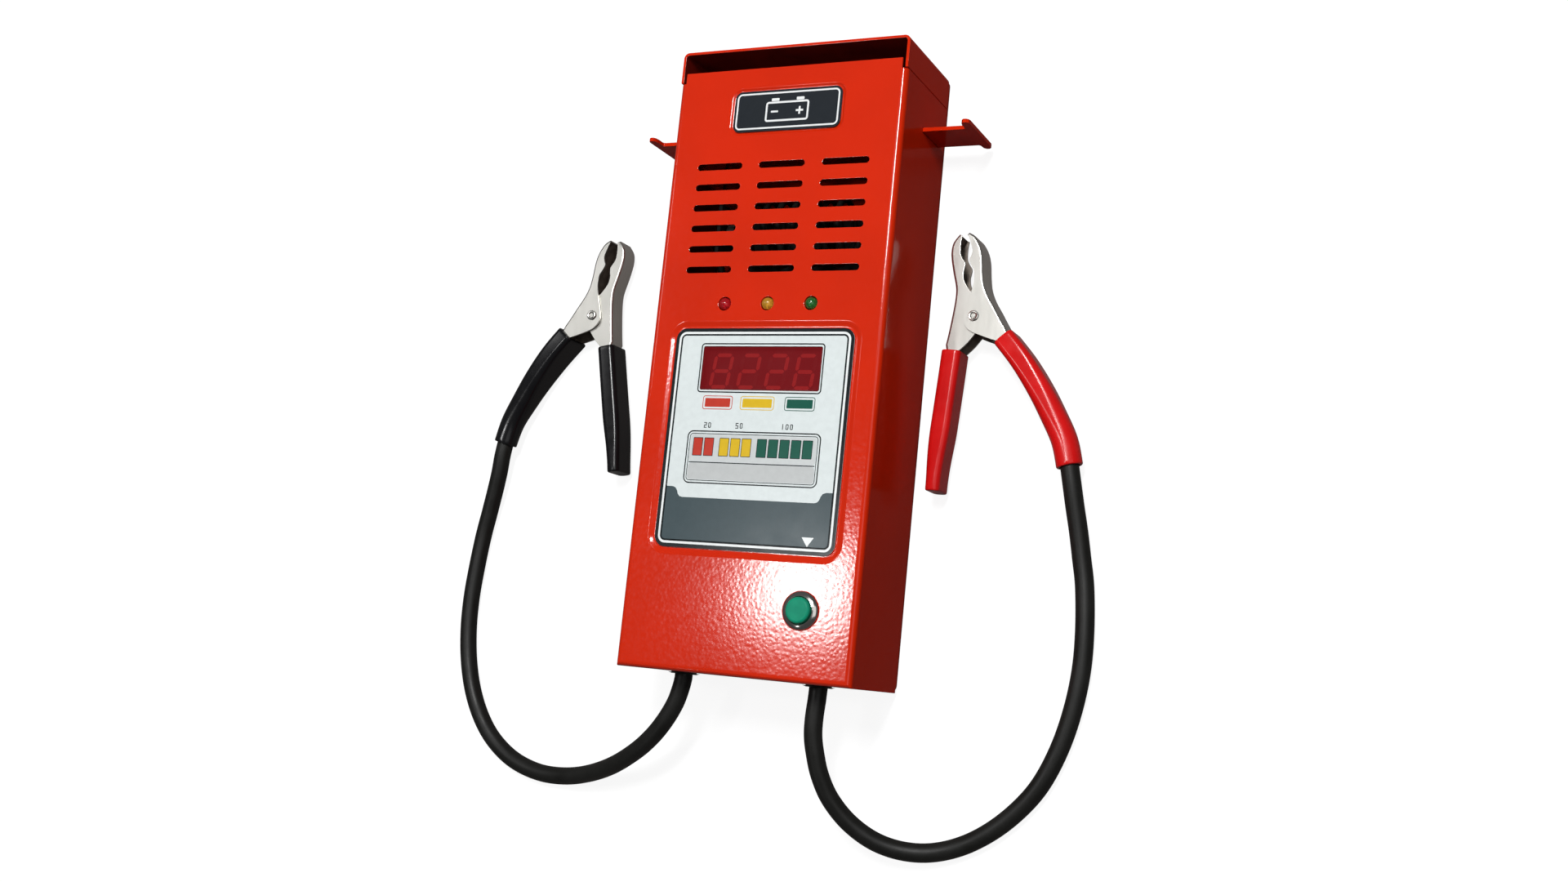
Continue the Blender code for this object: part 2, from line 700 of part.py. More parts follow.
def front_case():
    half = CASE_WIDTH / 2
    work = folded(
        (-half, BOTTOM, SHELL_REAR), (half, SIDE_TOP, FRONT), ("+Y", "-Z"),
        (("+Z", "-X"), ("+Z", "+X"), ("+Z", "-Y")),
    )
    # The flat of the front panel rises past the side walls
    rim = [
        edge for edge in work.edges
        if all(abs(v.co.y - SIDE_TOP) < WELD and abs(v.co.z - FRONT) < WELD for v in edge.verts)
    ]
    raised = bmesh.ops.extrude_edge_only(work, edges=rim)["geom"]
    for vertex in (item for item in raised if isinstance(item, bmesh.types.BMVert)):
        vertex.co.y = PANEL_TOP
    bmesh.ops.recalc_face_normals(work, faces=work.faces)
    case = sheet_metal("front_case", work)

    flanges = [
        box(
            "flange",
            (min(side * half, side * (half - SIDE_FLANGE)) + (SHEET / 2 if side < 0 else 0),
             BOTTOM + SHEET + FLANGE_RELIEF, SHELL_REAR),
            (max(side * half, side * (half - SIDE_FLANGE)) - (SHEET / 2 if side > 0 else 0),
             SIDE_TOP - FLANGE_RELIEF, SHELL_REAR + SHEET),
        )
        for side in (-1, 1)
    ]
    label = pressed_recess(
        "label", LABEL_WIDTH, LABEL_HEIGHT, LABEL_CORNER, LABEL_MIDDLE, LABEL_RECESS, LABEL_SLOPE
    )
    badge = pressed_recess(
        "badge", BADGE_WIDTH, BADGE_HEIGHT, BADGE_CORNER, BADGE_MIDDLE, BADGE_RECESS, BADGE_SLOPE
    )
    fuse(case, merge("case_added", flanges + [label[0], badge[0]]))
    cut(case, merge("case_hollows", [label[1], badge[1]]))
    post_low, post_high = BOARD_FRONT + GAP, PANEL_INSIDE + SHEET / 4
    posts = [
        rod("post", POST_RADIUS, post_high - post_low, (x, y, (post_low + post_high) / 2), sides=8)
        for x, y in board_fixing_places()
    ]
    fuse(case, merge("posts", posts))

    through = 6 * SHEET
    slot = rounded_rect(VENT_LENGTH, VENT_HEIGHT, VENT_HEIGHT / 2, 3)
    vents = plate("vents", [moved(slot, x, y) for x, y in vent_places()], through, (0, 0, FRONT))
    holes = [vents]
    for x in lamp_places().values():
        holes.append(rod("lamp_hole", LAMP_RADIUS + GAP, through, (x, LAMP_Y, FRONT)))
    opening = rounded_rect(WINDOW_WIDTH + 2 * GAP, WINDOW_HEIGHT + 2 * GAP, WINDOW_CORNER + GAP, 2)
    holes.append(plate("window_hole", [opening], through, (0, WINDOW_Y, FRONT)))
    holes.append(
        rod("button_hole", barrel_radius() + GAP, through, (BUTTON_X, BUTTON_Y, FRONT), sides=ROUND)
    )
    for side in (-1, 1):
        holes.append(
            rod("lead_hole", grommet_neck() + GAP, through, (lead_x(side), BOTTOM, LEAD_Z), "Y", ROUND)
        )
        reach = HOLDER_WIDTH / 2 + GAP
        holes.append(
            box(
                "holder_slot",
                (side * half - through / 2, HOLDER_Y - GAP - HOLDER_SHEET, HOLDER_MIDDLE_Z - reach),
                (side * half + through / 2, HOLDER_Y + GAP, HOLDER_MIDDLE_Z + reach),
            )
        )
    for x, y in case_screw_places():
        holes.append(rod("screw_hole", SCREW_RADIUS + GAP, through, (x, y, SHELL_REAR)))
    for x, y in board_fixing_places():
        holes.append(rod("post_bore", BOARD_SCREW_RADIUS + GAP, 2 * POST_BORE, (x, y, BOARD_FRONT)))
    cut(case, merge("case_holes", holes))
    finish(case, *RED_PAINT)


def top_cap():
    half = CASE_WIDTH / 2
    work = folded(
        (-half, TOP - LID_SIDE, SHELL_REAR), (half, TOP, FRONT), ("-Y", "+Z"),
        (("+Y", "-X"), ("+Y", "+X"), ("+Y", "-Z")),
    )
    lid = sheet_metal("top_cap", work)
    holes = [
        rod("lid_hole", SCREW_RADIUS + GAP, 6 * SHEET, (x, y, SHELL_REAR))
        for x, y in lid_screw_places()
    ]
    cut(lid, merge("lid_holes", holes))
    finish(lid, *RED_PAINT)


def boss_places():
    """Welded bosses: two for the block's pegs, one under the relay and one under the bracket."""
    return [(-BLOCK_PEG_X, BLOCK_Y), (BLOCK_PEG_X, BLOCK_Y), (0.0, RELAY_SCREW_Y), (0.0, COIL_Y)]


def rear_cover():
    half_x = CASE_WIDTH / 2 - REAR_MARGIN
    half_y = CASE_HEIGHT / 2 - REAR_MARGIN
    outline = rounded_rect(2 * half_x, 2 * half_y, BEND_RADIUS)
    cover = plate("rear_cover", [outline], REAR_SHEET, (0, 0, REAR_SHEET / 2))
    boss_length = BOSS_HEIGHT + REAR_SHEET / 4
    bosses = [
        rod("boss", BOSS_RADIUS, boss_length, (x, y, BOSS_TOP - boss_length / 2))
        for x, y in boss_places()
    ]
    fuse(cover, merge("bosses", bosses))
    bores = [
        rod("boss_bore", INNER_SCREW_RADIUS + GAP, 2 * BOSS_HEIGHT, (x, y, BOSS_TOP))
        for x, y in boss_places()
    ]
    head = SCREW_HEAD_RADIUS + GAP
    shank = SCREW_RADIUS + GAP
    profile = (
        (0, REAR_SHEET + GAP), (shank, REAR_SHEET + GAP), (shank, SCREW_SINK + SCREW_HEAD_HEIGHT + GAP),
        (head, SCREW_SINK), (head, -GAP), (0, -GAP),
    )
    for x, y in case_screw_places() + lid_screw_places():
        bores.append(turned("countersink", profile, (x, y, 0), SMALL_ROUND))
    cut(cover, merge("cover_bores", bores))
    finish(cover, *RED_PAINT)

    profile = (
        (0, SCREW_SINK + SCREW_LENGTH), (SCREW_RADIUS, SCREW_SINK + SCREW_LENGTH),
        (SCREW_RADIUS, SCREW_SINK + SCREW_HEAD_HEIGHT), (SCREW_HEAD_RADIUS, SCREW_SINK), (0, SCREW_SINK),
    )
    for number, (x, y) in enumerate(case_screw_places() + lid_screw_places(), 1):
        finish(turned(f"cover_screw_{number}", profile, (x, y, 0), SMALL_ROUND), *BRIGHT_STEEL)


def clamp_holder(side_name, side):
    """Bent tab that stands out of the side wall, with a flat T end that keeps a clamp on."""
    inner = CASE_WIDTH / 2 - SHEET - GAP
    outer = CASE_WIDTH / 2 + HOLDER_REACH
    neck = outer - HOLDER_END_LENGTH
    start = inner - HOLDER_SHEET / 2
    front, rear = HOLDER_MIDDLE_Z + HOLDER_WIDTH / 2, HOLDER_MIDDLE_Z - HOLDER_WIDTH / 2
    ear_front = HOLDER_END_MIDDLE_Z + HOLDER_END_WIDTH / 2
    ear_rear = HOLDER_END_MIDDLE_Z - HOLDER_END_WIDTH / 2
    corner = HOLDER_END_LENGTH / 4
    tab = [
        (start, front), (neck, front), (neck, ear_front - corner), (neck + corner, ear_front),
        (outer - corner, ear_front), (outer, ear_front - corner), (outer, ear_rear + corner),
        (outer - corner, ear_rear), (neck + corner, ear_rear), (neck, ear_rear + corner), (neck, rear),
        (start, rear),
    ]
    outline = [(side * x, z) for x, z in tab]
    holder = plate(
        "clamp_holder_" + side_name, [outline], HOLDER_SHEET, (0, HOLDER_Y - HOLDER_SHEET / 2, 0),
        (math.pi / 2, 0, 0),
    )
    ends = sorted((side * inner, side * (inner - HOLDER_SHEET)))
    foot = box(
        "foot_" + side_name, (ends[0], HOLDER_Y - HOLDER_FOOT, rear + GAP),
        (ends[1], HOLDER_Y - HOLDER_SHEET / 4, front - GAP),
    )
    fuse(holder, foot)
    finish(holder, *RED_PAINT)


# Face label, badge, display and lamps

def face_plates():
    hole = rounded_rect(WINDOW_WIDTH + 2 * GAP, WINDOW_HEIGHT + 2 * GAP, WINDOW_CORNER + GAP, 2)
    outline = rounded_rect(LABEL_WIDTH, LABEL_HEIGHT, LABEL_CORNER)
    middle = FRONT - LABEL_RECESS + GAP + LABEL_SHEET / 2
    window_hole = moved(hole, 0, WINDOW_Y - LABEL_MIDDLE)
    label = plate("face_label", [outline, window_hole], LABEL_SHEET, (0, LABEL_MIDDLE, middle))
    finish(label, *PALE_FILM)
    outline = rounded_rect(BADGE_WIDTH, BADGE_HEIGHT, BADGE_CORNER)
    middle = FRONT - BADGE_RECESS + GAP + BADGE_SHEET / 2
    badge = plate("name_badge", [outline], BADGE_SHEET, (0, BADGE_MIDDLE, middle))
    finish(badge, *DARK_FILM)


def display():
    rim_front = WINDOW_RIM_REAR + WINDOW_RIM_SHEET
    pane_rear = WINDOW_RIM_REAR + WINDOW_RIM_SHEET / 2
    pane_front = FRONT - LABEL_RECESS + GAP + LABEL_SHEET
    outline = rounded_rect(WINDOW_WIDTH, WINDOW_HEIGHT, WINDOW_CORNER, 2)
    pane = plate(
        "display_window", [outline], pane_front - pane_rear, (0, WINDOW_Y, (pane_front + pane_rear) / 2)
    )
    rim_outline = rounded_rect(
        WINDOW_WIDTH + 2 * WINDOW_RIM, WINDOW_HEIGHT + 2 * WINDOW_RIM, WINDOW_CORNER + WINDOW_RIM, 2
    )
    rim = plate(
        "window_rim", [rim_outline], WINDOW_RIM_SHEET, (0, WINDOW_Y, rim_front - WINDOW_RIM_SHEET / 2)
    )
    finish(fuse(pane, rim), *RED_FILTER)

    module = box(
        "display_module",
        (-DISPLAY_WIDTH / 2, WINDOW_Y - DISPLAY_HEIGHT / 2, DISPLAY_FRONT - DISPLAY_DEPTH),
        (DISPLAY_WIDTH / 2, WINDOW_Y + DISPLAY_HEIGHT / 2, DISPLAY_FRONT),
    )
    finish(soften(module, GAP), *DISPLAY_BLACK)


def board_low():
    return BOTTOM + LABEL_BOTTOM + BOARD_LOW


def board_fixing_places():
    x = BOARD_WIDTH / 2 - BOARD_EDGE
    return [(side * x, y) for side in (-1, 1) for y in (board_low() + BOARD_EDGE, LABEL_TOP - BOARD_EDGE)]


def circuit_board():
    high = LAMP_Y + BOARD_HIGH
    height = high - board_low()
    middle_y = (high + board_low()) / 2
    outline = rounded_rect(BOARD_WIDTH, height, BOARD_EDGE / 4, 2)
    board = plate(
        "circuit_board", [outline], BOARD_SHEET, (0, middle_y, BOARD_FRONT - BOARD_SHEET / 2)
    )
    holes = [
        rod("board_hole", BOARD_SCREW_RADIUS + GAP, 3 * BOARD_SHEET, (x, y, BOARD_FRONT - BOARD_SHEET / 2))
        for x, y in board_fixing_places()
    ]
    cut(board, merge("board_holes", holes))
    finish(board, *LAMINATE)

    head_top = BOARD_REAR - GAP
    tip = head_top + BOARD_SCREW_LENGTH
    profile = (
        (0, tip), (BOARD_SCREW_RADIUS, tip), (BOARD_SCREW_RADIUS, head_top), (BOARD_SCREW_HEAD, head_top),
        (BOARD_SCREW_HEAD, head_top - BOARD_SCREW_HEAD_HEIGHT), (0, head_top - BOARD_SCREW_HEAD_HEIGHT),
    )
    # Screws in opposite corners; the other two posts only steady the board
    for number, (x, y) in enumerate((board_fixing_places()[0], board_fixing_places()[3]), 1):
        finish(turned(f"board_screw_{number}", profile, (x, y, 0), SMALL_ROUND), *BRIGHT_STEEL)

    size_x, size_y, size_z = CHIP_SIZE
    chip_front = BOARD_REAR - GAP
    chip = box(
        "controller_chip",
        (-size_x / 2, middle_y - size_y / 2, chip_front - size_z),
        (size_x / 2, middle_y + size_y / 2, chip_front),
    )
    finish(soften(chip, GAP), *DARK_PLASTIC)


def lamp(colour_name, x):
    """Round lamp with a rim at its base and two legs down to the board."""
    tip = FRONT + LAMP_PROUD
    base = tip - LAMP_LENGTH
    steps = 5
    dome = []
    for step in range(steps):
        angle = math.pi / 2 * (1 - step / steps)
        dome.append((LAMP_RADIUS * math.cos(angle), tip - LAMP_RADIUS + LAMP_RADIUS * math.sin(angle)))
    rim = LAMP_RADIUS + LAMP_RIM
    profile = [(0, tip)] + dome[1:] + [
        (LAMP_RADIUS, tip - LAMP_RADIUS), (LAMP_RADIUS, base + LAMP_RIM_HEIGHT),
        (rim, base + LAMP_RIM_HEIGHT), (rim, base), (0, base),
    ]
    body = turned("lamp_" + colour_name, profile, (x, LAMP_Y, 0), 16)
    half = LAMP_LEG / 2
    legs = [
        box(
            "leg",
            (x + side * LAMP_LEG_SPACING / 2 - half, LAMP_Y - half, BOARD_FRONT + GAP),
            (x + side * LAMP_LEG_SPACING / 2 + half, LAMP_Y + half, base + LAMP_RIM_HEIGHT / 2),
        )
        for side in (-1, 1)
    ]
    fuse(body, merge("legs_" + colour_name, legs))
    finish(body, LAMP_COLOURS[colour_name], LAMP_ROUGHNESS)


# Push button

def barrel_bore():
    return BUTTON_RADIUS + BUTTON_SHOULDER + GAP


def barrel_radius():
    return barrel_bore() + BARREL_WALL


def helix(radius, turns, per_turn, height):
    """Points on a helix about Z that starts at height 0."""
    count = round(turns * per_turn)
    return [
        Vector((
            radius * math.cos(2 * math.pi * number / per_turn),
            radius * math.sin(2 * math.pi * number / per_turn),
            height * number / count,
        ))
        for number in range(count + 1)
    ]


def push_button():
    seat = FRONT + GAP
    rim = FRONT + BEZEL_HEIGHT
    lip_bottom = rim - BEZEL_LIP
    lip_radius = BUTTON_RADIUS + GAP
    floor_top = FRONT - BARREL_DEPTH
    floor_low = floor_top - BARREL_FLOOR
    stem_hole = BUTTON_STEM_RADIUS + GAP
    axis = (BUTTON_X, BUTTON_Y, 0)
    steps = 4
    round_width = BEZEL_RADIUS - lip_radius - GAP
    shoulder = [
        (BEZEL_RADIUS - round_width * (1 - math.cos(math.pi / 2 * step / steps)),
         seat + GAP + (rim - seat - GAP) * math.sin(math.pi / 2 * step / steps))
        for step in range(steps, -1, -1)
    ]
    profile = [(lip_radius, rim)] + shoulder + [
        (BEZEL_RADIUS, seat), (barrel_radius(), seat), (barrel_radius(), floor_low),
        (stem_hole, floor_low), (stem_hole, floor_top), (barrel_bore(), floor_top),
        (barrel_bore(), lip_bottom), (lip_radius, lip_bottom),
    ]
    finish(turned("button_bezel", profile, axis, ROUND, ring=True), *CHROME)

    flange_top = lip_bottom - GAP
    flange_low = flange_top - BUTTON_SHOULDER_HEIGHT
    flange = BUTTON_RADIUS + BUTTON_SHOULDER
    top = FRONT + BUTTON_PROUD
    edge = [
        (BUTTON_RADIUS - BUTTON_EDGE * (1 - math.sin(angle)), top - BUTTON_EDGE * (1 - math.cos(angle)))
        for angle in (0, math.pi / 6, math.pi / 3, math.pi / 2)
    ]
    stem_low = floor_low - BUTTON_STEM_REACH
    profile = [(0, top)] + edge + [
        (BUTTON_RADIUS, flange_top), (flange, flange_top), (flange, flange_low),
        (BUTTON_STEM_RADIUS, flange_low), (BUTTON_STEM_RADIUS, stem_low), (0, stem_low),
    ]
    finish(turned("button_cap", profile, axis, ROUND), *BUTTON_GREEN)

    spring_low = floor_top + GAP + SPRING_WIRE / 2
    spring_high = flange_low - GAP - SPRING_WIRE / 2
    coil = helix(SPRING_RADIUS, SPRING_TURNS, 8, spring_high - spring_low)
    print("button spring least gap", least_gap(coil, SPRING_WIRE / 2, 5))
    wire = tube("button_spring", coil, SPRING_WIRE / 2, 1)
    wire.location = (BUTTON_X, BUTTON_Y, spring_low)
    finish(wire, *BRIGHT_STEEL)

    nut_top = FRONT - SHEET - GAP
    bore = barrel_radius() + GAP
    bore_ring = rod("nut_bore", bore, 3 * NUT_HEIGHT, (BUTTON_X, BUTTON_Y, nut_top), sides=ROUND)
    nut_middle = (BUTTON_X, BUTTON_Y, nut_top - NUT_HEIGHT / 2)
    nut = rod("button_nut", NUT_ACROSS_CORNERS / 2, NUT_HEIGHT, nut_middle, sides=6)
    finish(cut(nut, bore_ring), *BRIGHT_STEEL)

    housing_top = floor_low - GAP
    housing_low = housing_top - SWITCH_DEPTH
    half = SWITCH_WIDTH / 2
    housing = box(
        "switch_housing",
        (BUTTON_X - half, BUTTON_Y - half, housing_low), (BUTTON_X + half, BUTTON_Y + half, housing_top),
    )
    soften(housing, 2 * GAP)
    bore_depth = BUTTON_STEM_REACH + BUTTON_TRAVEL + GAP
    cut(housing, rod("stem_bore", stem_hole, 2 * bore_depth, (BUTTON_X, BUTTON_Y, housing_top)))
    size_x, size_y, size_z = SWITCH_BLADE
    blades = [
        box(
            "blade", (x - size_x / 2, BUTTON_Y - size_y / 2, housing_low - size_z),
            (x + size_x / 2, BUTTON_Y + size_y / 2, housing_low + size_x),
        )
        for x in (BUTTON_X - SWITCH_BLADE_SPACING / 2, BUTTON_X + SWITCH_BLADE_SPACING / 2)
    ]
    fuse(housing, merge("blades", blades))
    finish(housing, *DARK_PLASTIC)


# Load circuit on the rear cover

def carrier_screw(name, y, height):
    """Pan-head screw that holds a carrier of the given height on a boss."""
    seat = CARRIER_BASE + height + GAP
    tip = BOSS_TOP - BOSS_HEIGHT / 2
    profile = (
        (0, seat + INNER_SCREW_HEAD_HEIGHT), (INNER_SCREW_HEAD, seat + INNER_SCREW_HEAD_HEIGHT),
        (INNER_SCREW_HEAD, seat), (INNER_SCREW_RADIUS, seat), (INNER_SCREW_RADIUS, tip), (0, tip),
    )
    finish(turned(name, profile, (0, y, 0), SMALL_ROUND), *BRIGHT_STEEL)


def terminal_block():
    block = box(
        "terminal_block",
        (-BLOCK_WIDTH / 2, BLOCK_Y - BLOCK_LENGTH / 2, CARRIER_BASE),
        (BLOCK_WIDTH / 2, BLOCK_Y + BLOCK_LENGTH / 2, CARRIER_BASE + BLOCK_HEIGHT),
    )
    soften(block, 2 * GAP)
    middle = CARRIER_BASE + BLOCK_HEIGHT / 2
    peg_reach = BOSS_HEIGHT / 2
    pegs = [
        rod("peg", INNER_SCREW_RADIUS, 2 * peg_reach, (x, BLOCK_Y, CARRIER_BASE))
        for x in (-BLOCK_PEG_X, BLOCK_PEG_X)
    ]
    fuse(block, merge("block_pegs", pegs))
    holes = [
        rod("bolt_way", BOLT_RADIUS + GAP, 2 * BLOCK_HEIGHT, (x, BLOCK_Y, middle))
        for x in (-BOLT_X, BOLT_X)
    ]
    cut(block, merge("block_holes", holes))
    finish(block, *PHENOLIC)

    lug_low = CARRIER_BASE + BLOCK_HEIGHT + GAP
    head_low = lug_low + LUG_SHEET + GAP
    for side_name, x in (("left", -BOLT_X), ("right", BOLT_X)):
        profile = (
            (0, head_low + BOLT_HEAD_HEIGHT), (BOLT_HEAD_RADIUS, head_low + BOLT_HEAD_HEIGHT),
            (BOLT_HEAD_RADIUS, head_low), (BOLT_RADIUS, head_low), (BOLT_RADIUS, CARRIER_BASE),
            (0, CARRIER_BASE),
        )
        finish(turned("terminal_bolt_" + side_name, profile, (x, BLOCK_Y, 0), SMALL_ROUND), *BRIGHT_STEEL)


def lug_barrel_place():
    """Height of the lug's barrel axis, and where the barrel starts and ends along the case."""
    axis = CARRIER_BASE + BLOCK_HEIGHT + GAP + LUG_BARREL_RADIUS
    high = BLOCK_Y - BLOCK_LENGTH / 2 - GAP
    return axis, high - LUG_BARREL_LENGTH, high


def cable_lug(side_name, side):
    axis, low, high = lug_barrel_place()
    palm_low = low + LUG_BARREL_LENGTH / 2
    palm_high = BLOCK_Y + LUG_WIDTH / 2
    outline = rounded_rect(LUG_WIDTH, palm_high - palm_low, LUG_WIDTH / 2 - GAP)
    hole_radius = BOLT_RADIUS + GAP
    angles = [2 * math.pi * step / SMALL_ROUND for step in range(SMALL_ROUND)]
    hole = [(hole_radius * math.cos(angle), hole_radius * math.sin(angle)) for angle in angles]
    hole = moved(hole, 0, BLOCK_Y - (palm_low + palm_high) / 2)
    palm = plate(
        "cable_lug_" + side_name, [outline, hole], LUG_SHEET,
        (side * BOLT_X, (palm_low + palm_high) / 2, CARRIER_BASE + BLOCK_HEIGHT + GAP + LUG_SHEET / 2),
    )
    barrel = rod(
        "lug_barrel_" + side_name, LUG_BARREL_RADIUS, LUG_BARREL_LENGTH,
        (side * BOLT_X, (low + high) / 2, axis), "Y",
    )
    finish(fuse(palm, barrel), *COPPER)


def load_relay():
    body = box(
        "load_relay",
        (-RELAY_WIDTH / 2, RELAY_Y - RELAY_LENGTH / 2, REAR_SHEET + GAP),
        (RELAY_WIDTH / 2, RELAY_Y + RELAY_LENGTH / 2, REAR_SHEET + GAP + RELAY_HEIGHT),
    )
    soften(body, 3 * GAP)
    tab_low = RELAY_Y + RELAY_LENGTH / 2 - RELAY_TAB_SHEET
    tab_high = RELAY_Y + RELAY_LENGTH / 2 + RELAY_TAB_LENGTH
    tab = box(
        "relay_tab",
        (-RELAY_TAB_WIDTH / 2, tab_low, CARRIER_BASE),
        (RELAY_TAB_WIDTH / 2, tab_high, CARRIER_BASE + RELAY_TAB_SHEET),
    )
    fuse(body, tab)
    screw_foot = (0, RELAY_SCREW_Y, CARRIER_BASE)
    cut(body, rod("relay_hole", INNER_SCREW_RADIUS + GAP, 4 * RELAY_TAB_SHEET, screw_foot))
    finish(body, *DARK_PLASTIC)


def load_coil():
    """Resistance wire wound about X, its ends brought in to the axis and out through the bushings."""
    points = []
    count = COIL_TURNS * COIL_POINTS
    half = COIL_TURNS * COIL_PITCH / 2
    for number in range(count + 1):
        turn = number / COIL_POINTS
        from_end = min(turn, COIL_TURNS - turn)
        share = min(1.0, from_end / COIL_END_TURN)
        radius = COIL_RADIUS * share * share * (3 - 2 * share)
        angle = 2 * math.pi * turn
        points.append(Vector((
            -half + COIL_PITCH * turn, radius * math.cos(angle), radius * math.sin(angle)
        )))
    print("load coil least gap", least_gap(points, COIL_WIRE / 2, COIL_POINTS * 6 // 10))
    points = [Vector((-COIL_END, 0, 0))] + points + [Vector((COIL_END, 0, 0))]
    coil = tube("load_coil", points, COIL_WIRE / 2, 1)
    coil.location = (0, COIL_Y, COIL_Z)
    finish(coil, *RESISTANCE_WIRE)


def coil_bracket():
    ear_middle = COIL_END - COIL_TAIL / 2
    ear_high = COIL_Z + BRACKET_ABOVE_COIL
    outer = ear_middle + BRACKET_SHEET / 2
    inner = ear_middle - BRACKET_SHEET / 2
    profile = [
        (-outer, ear_high), (-outer, CARRIER_BASE), (outer, CARRIER_BASE), (outer, ear_high),
        (inner, ear_high), (inner, CARRIER_BASE + BRACKET_SHEET), (-inner, CARRIER_BASE + BRACKET_SHEET),
        (-inner, ear_high),
    ]
    bracket = plate(
        "coil_bracket", [profile], BRACKET_WIDTH, (0, COIL_Y, 0), (math.pi / 2, 0, 0)
    )
    neck = COIL_WIRE / 2 + GAP + BUSHING_WALL
    holes = [
        rod("ear_hole", neck + GAP, 4 * BRACKET_SHEET, (side * ear_middle, COIL_Y, COIL_Z), "X")
        for side in (-1, 1)
    ]
    holes.append(rod("base_hole", INNER_SCREW_RADIUS + GAP, 4 * BRACKET_SHEET, (0, COIL_Y, CARRIER_BASE)))
    cut(bracket, merge("bracket_holes", holes))
    finish(bracket, *ZINC)

    bore = COIL_WIRE / 2 + GAP
    flange = neck + BUSHING_FLANGE
    half = BUSHING_LENGTH / 2
    near = BRACKET_SHEET / 2 + GAP
    far = near + BUSHING_FLANGE_HEIGHT
    profile = (
        (bore, half), (neck, half), (neck, far), (flange, far),
        (flange, near), (neck, near), (neck, -half), (bore, -half),
    )
    for side_name, side in (("left", -1), ("right", 1)):
        place = (side * ear_middle, COIL_Y, COIL_Z)
        turn = (0, -side * math.pi / 2, 0)
        bushing = turned("coil_bushing_" + side_name, profile, place, SMALL_ROUND, True, turn)
        finish(bushing, *CERAMIC)


def hookup_wires():
    """Thick insulated wires from the lugs to the relay and from there to the coil's ends."""
    lug_z = CARRIER_BASE + BLOCK_HEIGHT + GAP + LUG_SHEET / 2
    joint_x = COIL_END - COIL_WIRE / 2
    joint_y = COIL_Y - COIL_WIRE / 2 - GAP
    lug_x = BOLT_X + LUG_WIDTH / 2 + GAP
    side_z = CARRIER_BASE + 2 * HOOKUP_RADIUS
    side_x = joint_x - 2 * HOOKUP_RADIUS
    bend = 6 * HOOKUP_RADIUS
    relay_x = RELAY_WIDTH / 2 + GAP
    relay_low = RELAY_Y - RELAY_LENGTH / 2 - GAP
    routes = {
        "load_wire_left": (
            (-lug_x, BLOCK_Y, lug_z), (-lug_x - HOOKUP_RADIUS * 2, BLOCK_Y, lug_z),
            (-side_x, BLOCK_Y + bend, side_z), (-side_x, RELAY_Y, side_z),
            (-side_x, (RELAY_Y + joint_y) / 2, side_z), (-joint_x, joint_y - bend, (side_z + COIL_Z) / 2),
            (-joint_x, joint_y - HOOKUP_RADIUS, COIL_Z), (-joint_x, joint_y, COIL_Z),
        ),
        "load_wire_right": (
            (relay_x, RELAY_Y, lug_z), (relay_x + 2 * HOOKUP_RADIUS, RELAY_Y, lug_z),
            (side_x, RELAY_Y + 2 * bend, side_z), (side_x, (RELAY_Y + joint_y) / 2 + bend, side_z),
            (joint_x, joint_y - bend, (side_z + COIL_Z) / 2), (joint_x, joint_y - HOOKUP_RADIUS, COIL_Z),
            (joint_x, joint_y, COIL_Z),
        ),
        "relay_wire": (
            (lug_x, BLOCK_Y, lug_z), (lug_x + 2 * HOOKUP_RADIUS, BLOCK_Y, lug_z),
            (lug_x, BLOCK_Y + BLOCK_LENGTH / 2 + 2 * HOOKUP_RADIUS, lug_z + 2 * HOOKUP_RADIUS),
            (RELAY_WIDTH / 3, relay_low - 2 * HOOKUP_RADIUS, lug_z), (RELAY_WIDTH / 3, relay_low, lug_z),
        ),
    }
    for name, route in routes.items():
        wire = tube(name, squared(route, 4 * HOOKUP_RADIUS), HOOKUP_RADIUS)
        finish(wire, *(RED_INSULATION if name == "relay_wire" else BLACK_INSULATION))


# Leads and grommets

def grommet(side_name, side):
    bore = LEAD_DIAMETER / 2 + GAP
    neck = grommet_neck()
    wide = neck + GAP + GROMMET_OVERHANG
    outer = GAP
    inner = -SHEET - GAP
    profile = (
        (bore, outer + GROMMET_LIP), (wide, outer + GROMMET_LIP), (wide, outer), (neck, outer),
        (neck, inner), (wide, inner), (wide, inner - GROMMET_COLLAR), (bore, inner - GROMMET_COLLAR),
    )
    ring = turned(
        "grommet_" + side_name, profile, (lead_x(side), BOTTOM, LEAD_Z), ROUND, True, (math.pi / 2, 0, 0)
    )
    finish(ring, *BLACK_RUBBER)


def lead(side_name, side):
    """The free lead on the table, and its tail inside the case up to the lug."""
    # A case of another size draws the route's start along with its exit
    drawn = [Vector(point) for point in LEAD_ROUTES[side_name]]
    drift = Vector((lead_x(side) - drawn[0].x, BOTTOM + LEAD_START - drawn[0].y, 0))
    route = [point + drift * (1 - number / (len(drawn) - 1)) for number, point in enumerate(drawn)]
    points = squared(route, LEAD_STEP)
    finish(tube("lead_" + side_name, points, LEAD_DIAMETER / 2, 3), *BLACK_RUBBER)

    axis, low, _ = lug_barrel_place()
    tail = [route[0] + Vector((0, GAP, 0))]
    across = side * BOLT_X - lead_x(side)
    tail += [Vector((lead_x(side) + share * across, BOTTOM + up, z)) for share, up, z in TAIL_ROUTE]
    tail += [
        Vector((side * BOLT_X, low - LEAD_DIAMETER / 2, axis)), Vector((side * BOLT_X, low - GAP, axis)),
    ]
    finish(tube("lead_tail_" + side_name, squared(tail, LEAD_DIAMETER), LEAD_DIAMETER / 2), *BLACK_RUBBER)


# Spring clamps

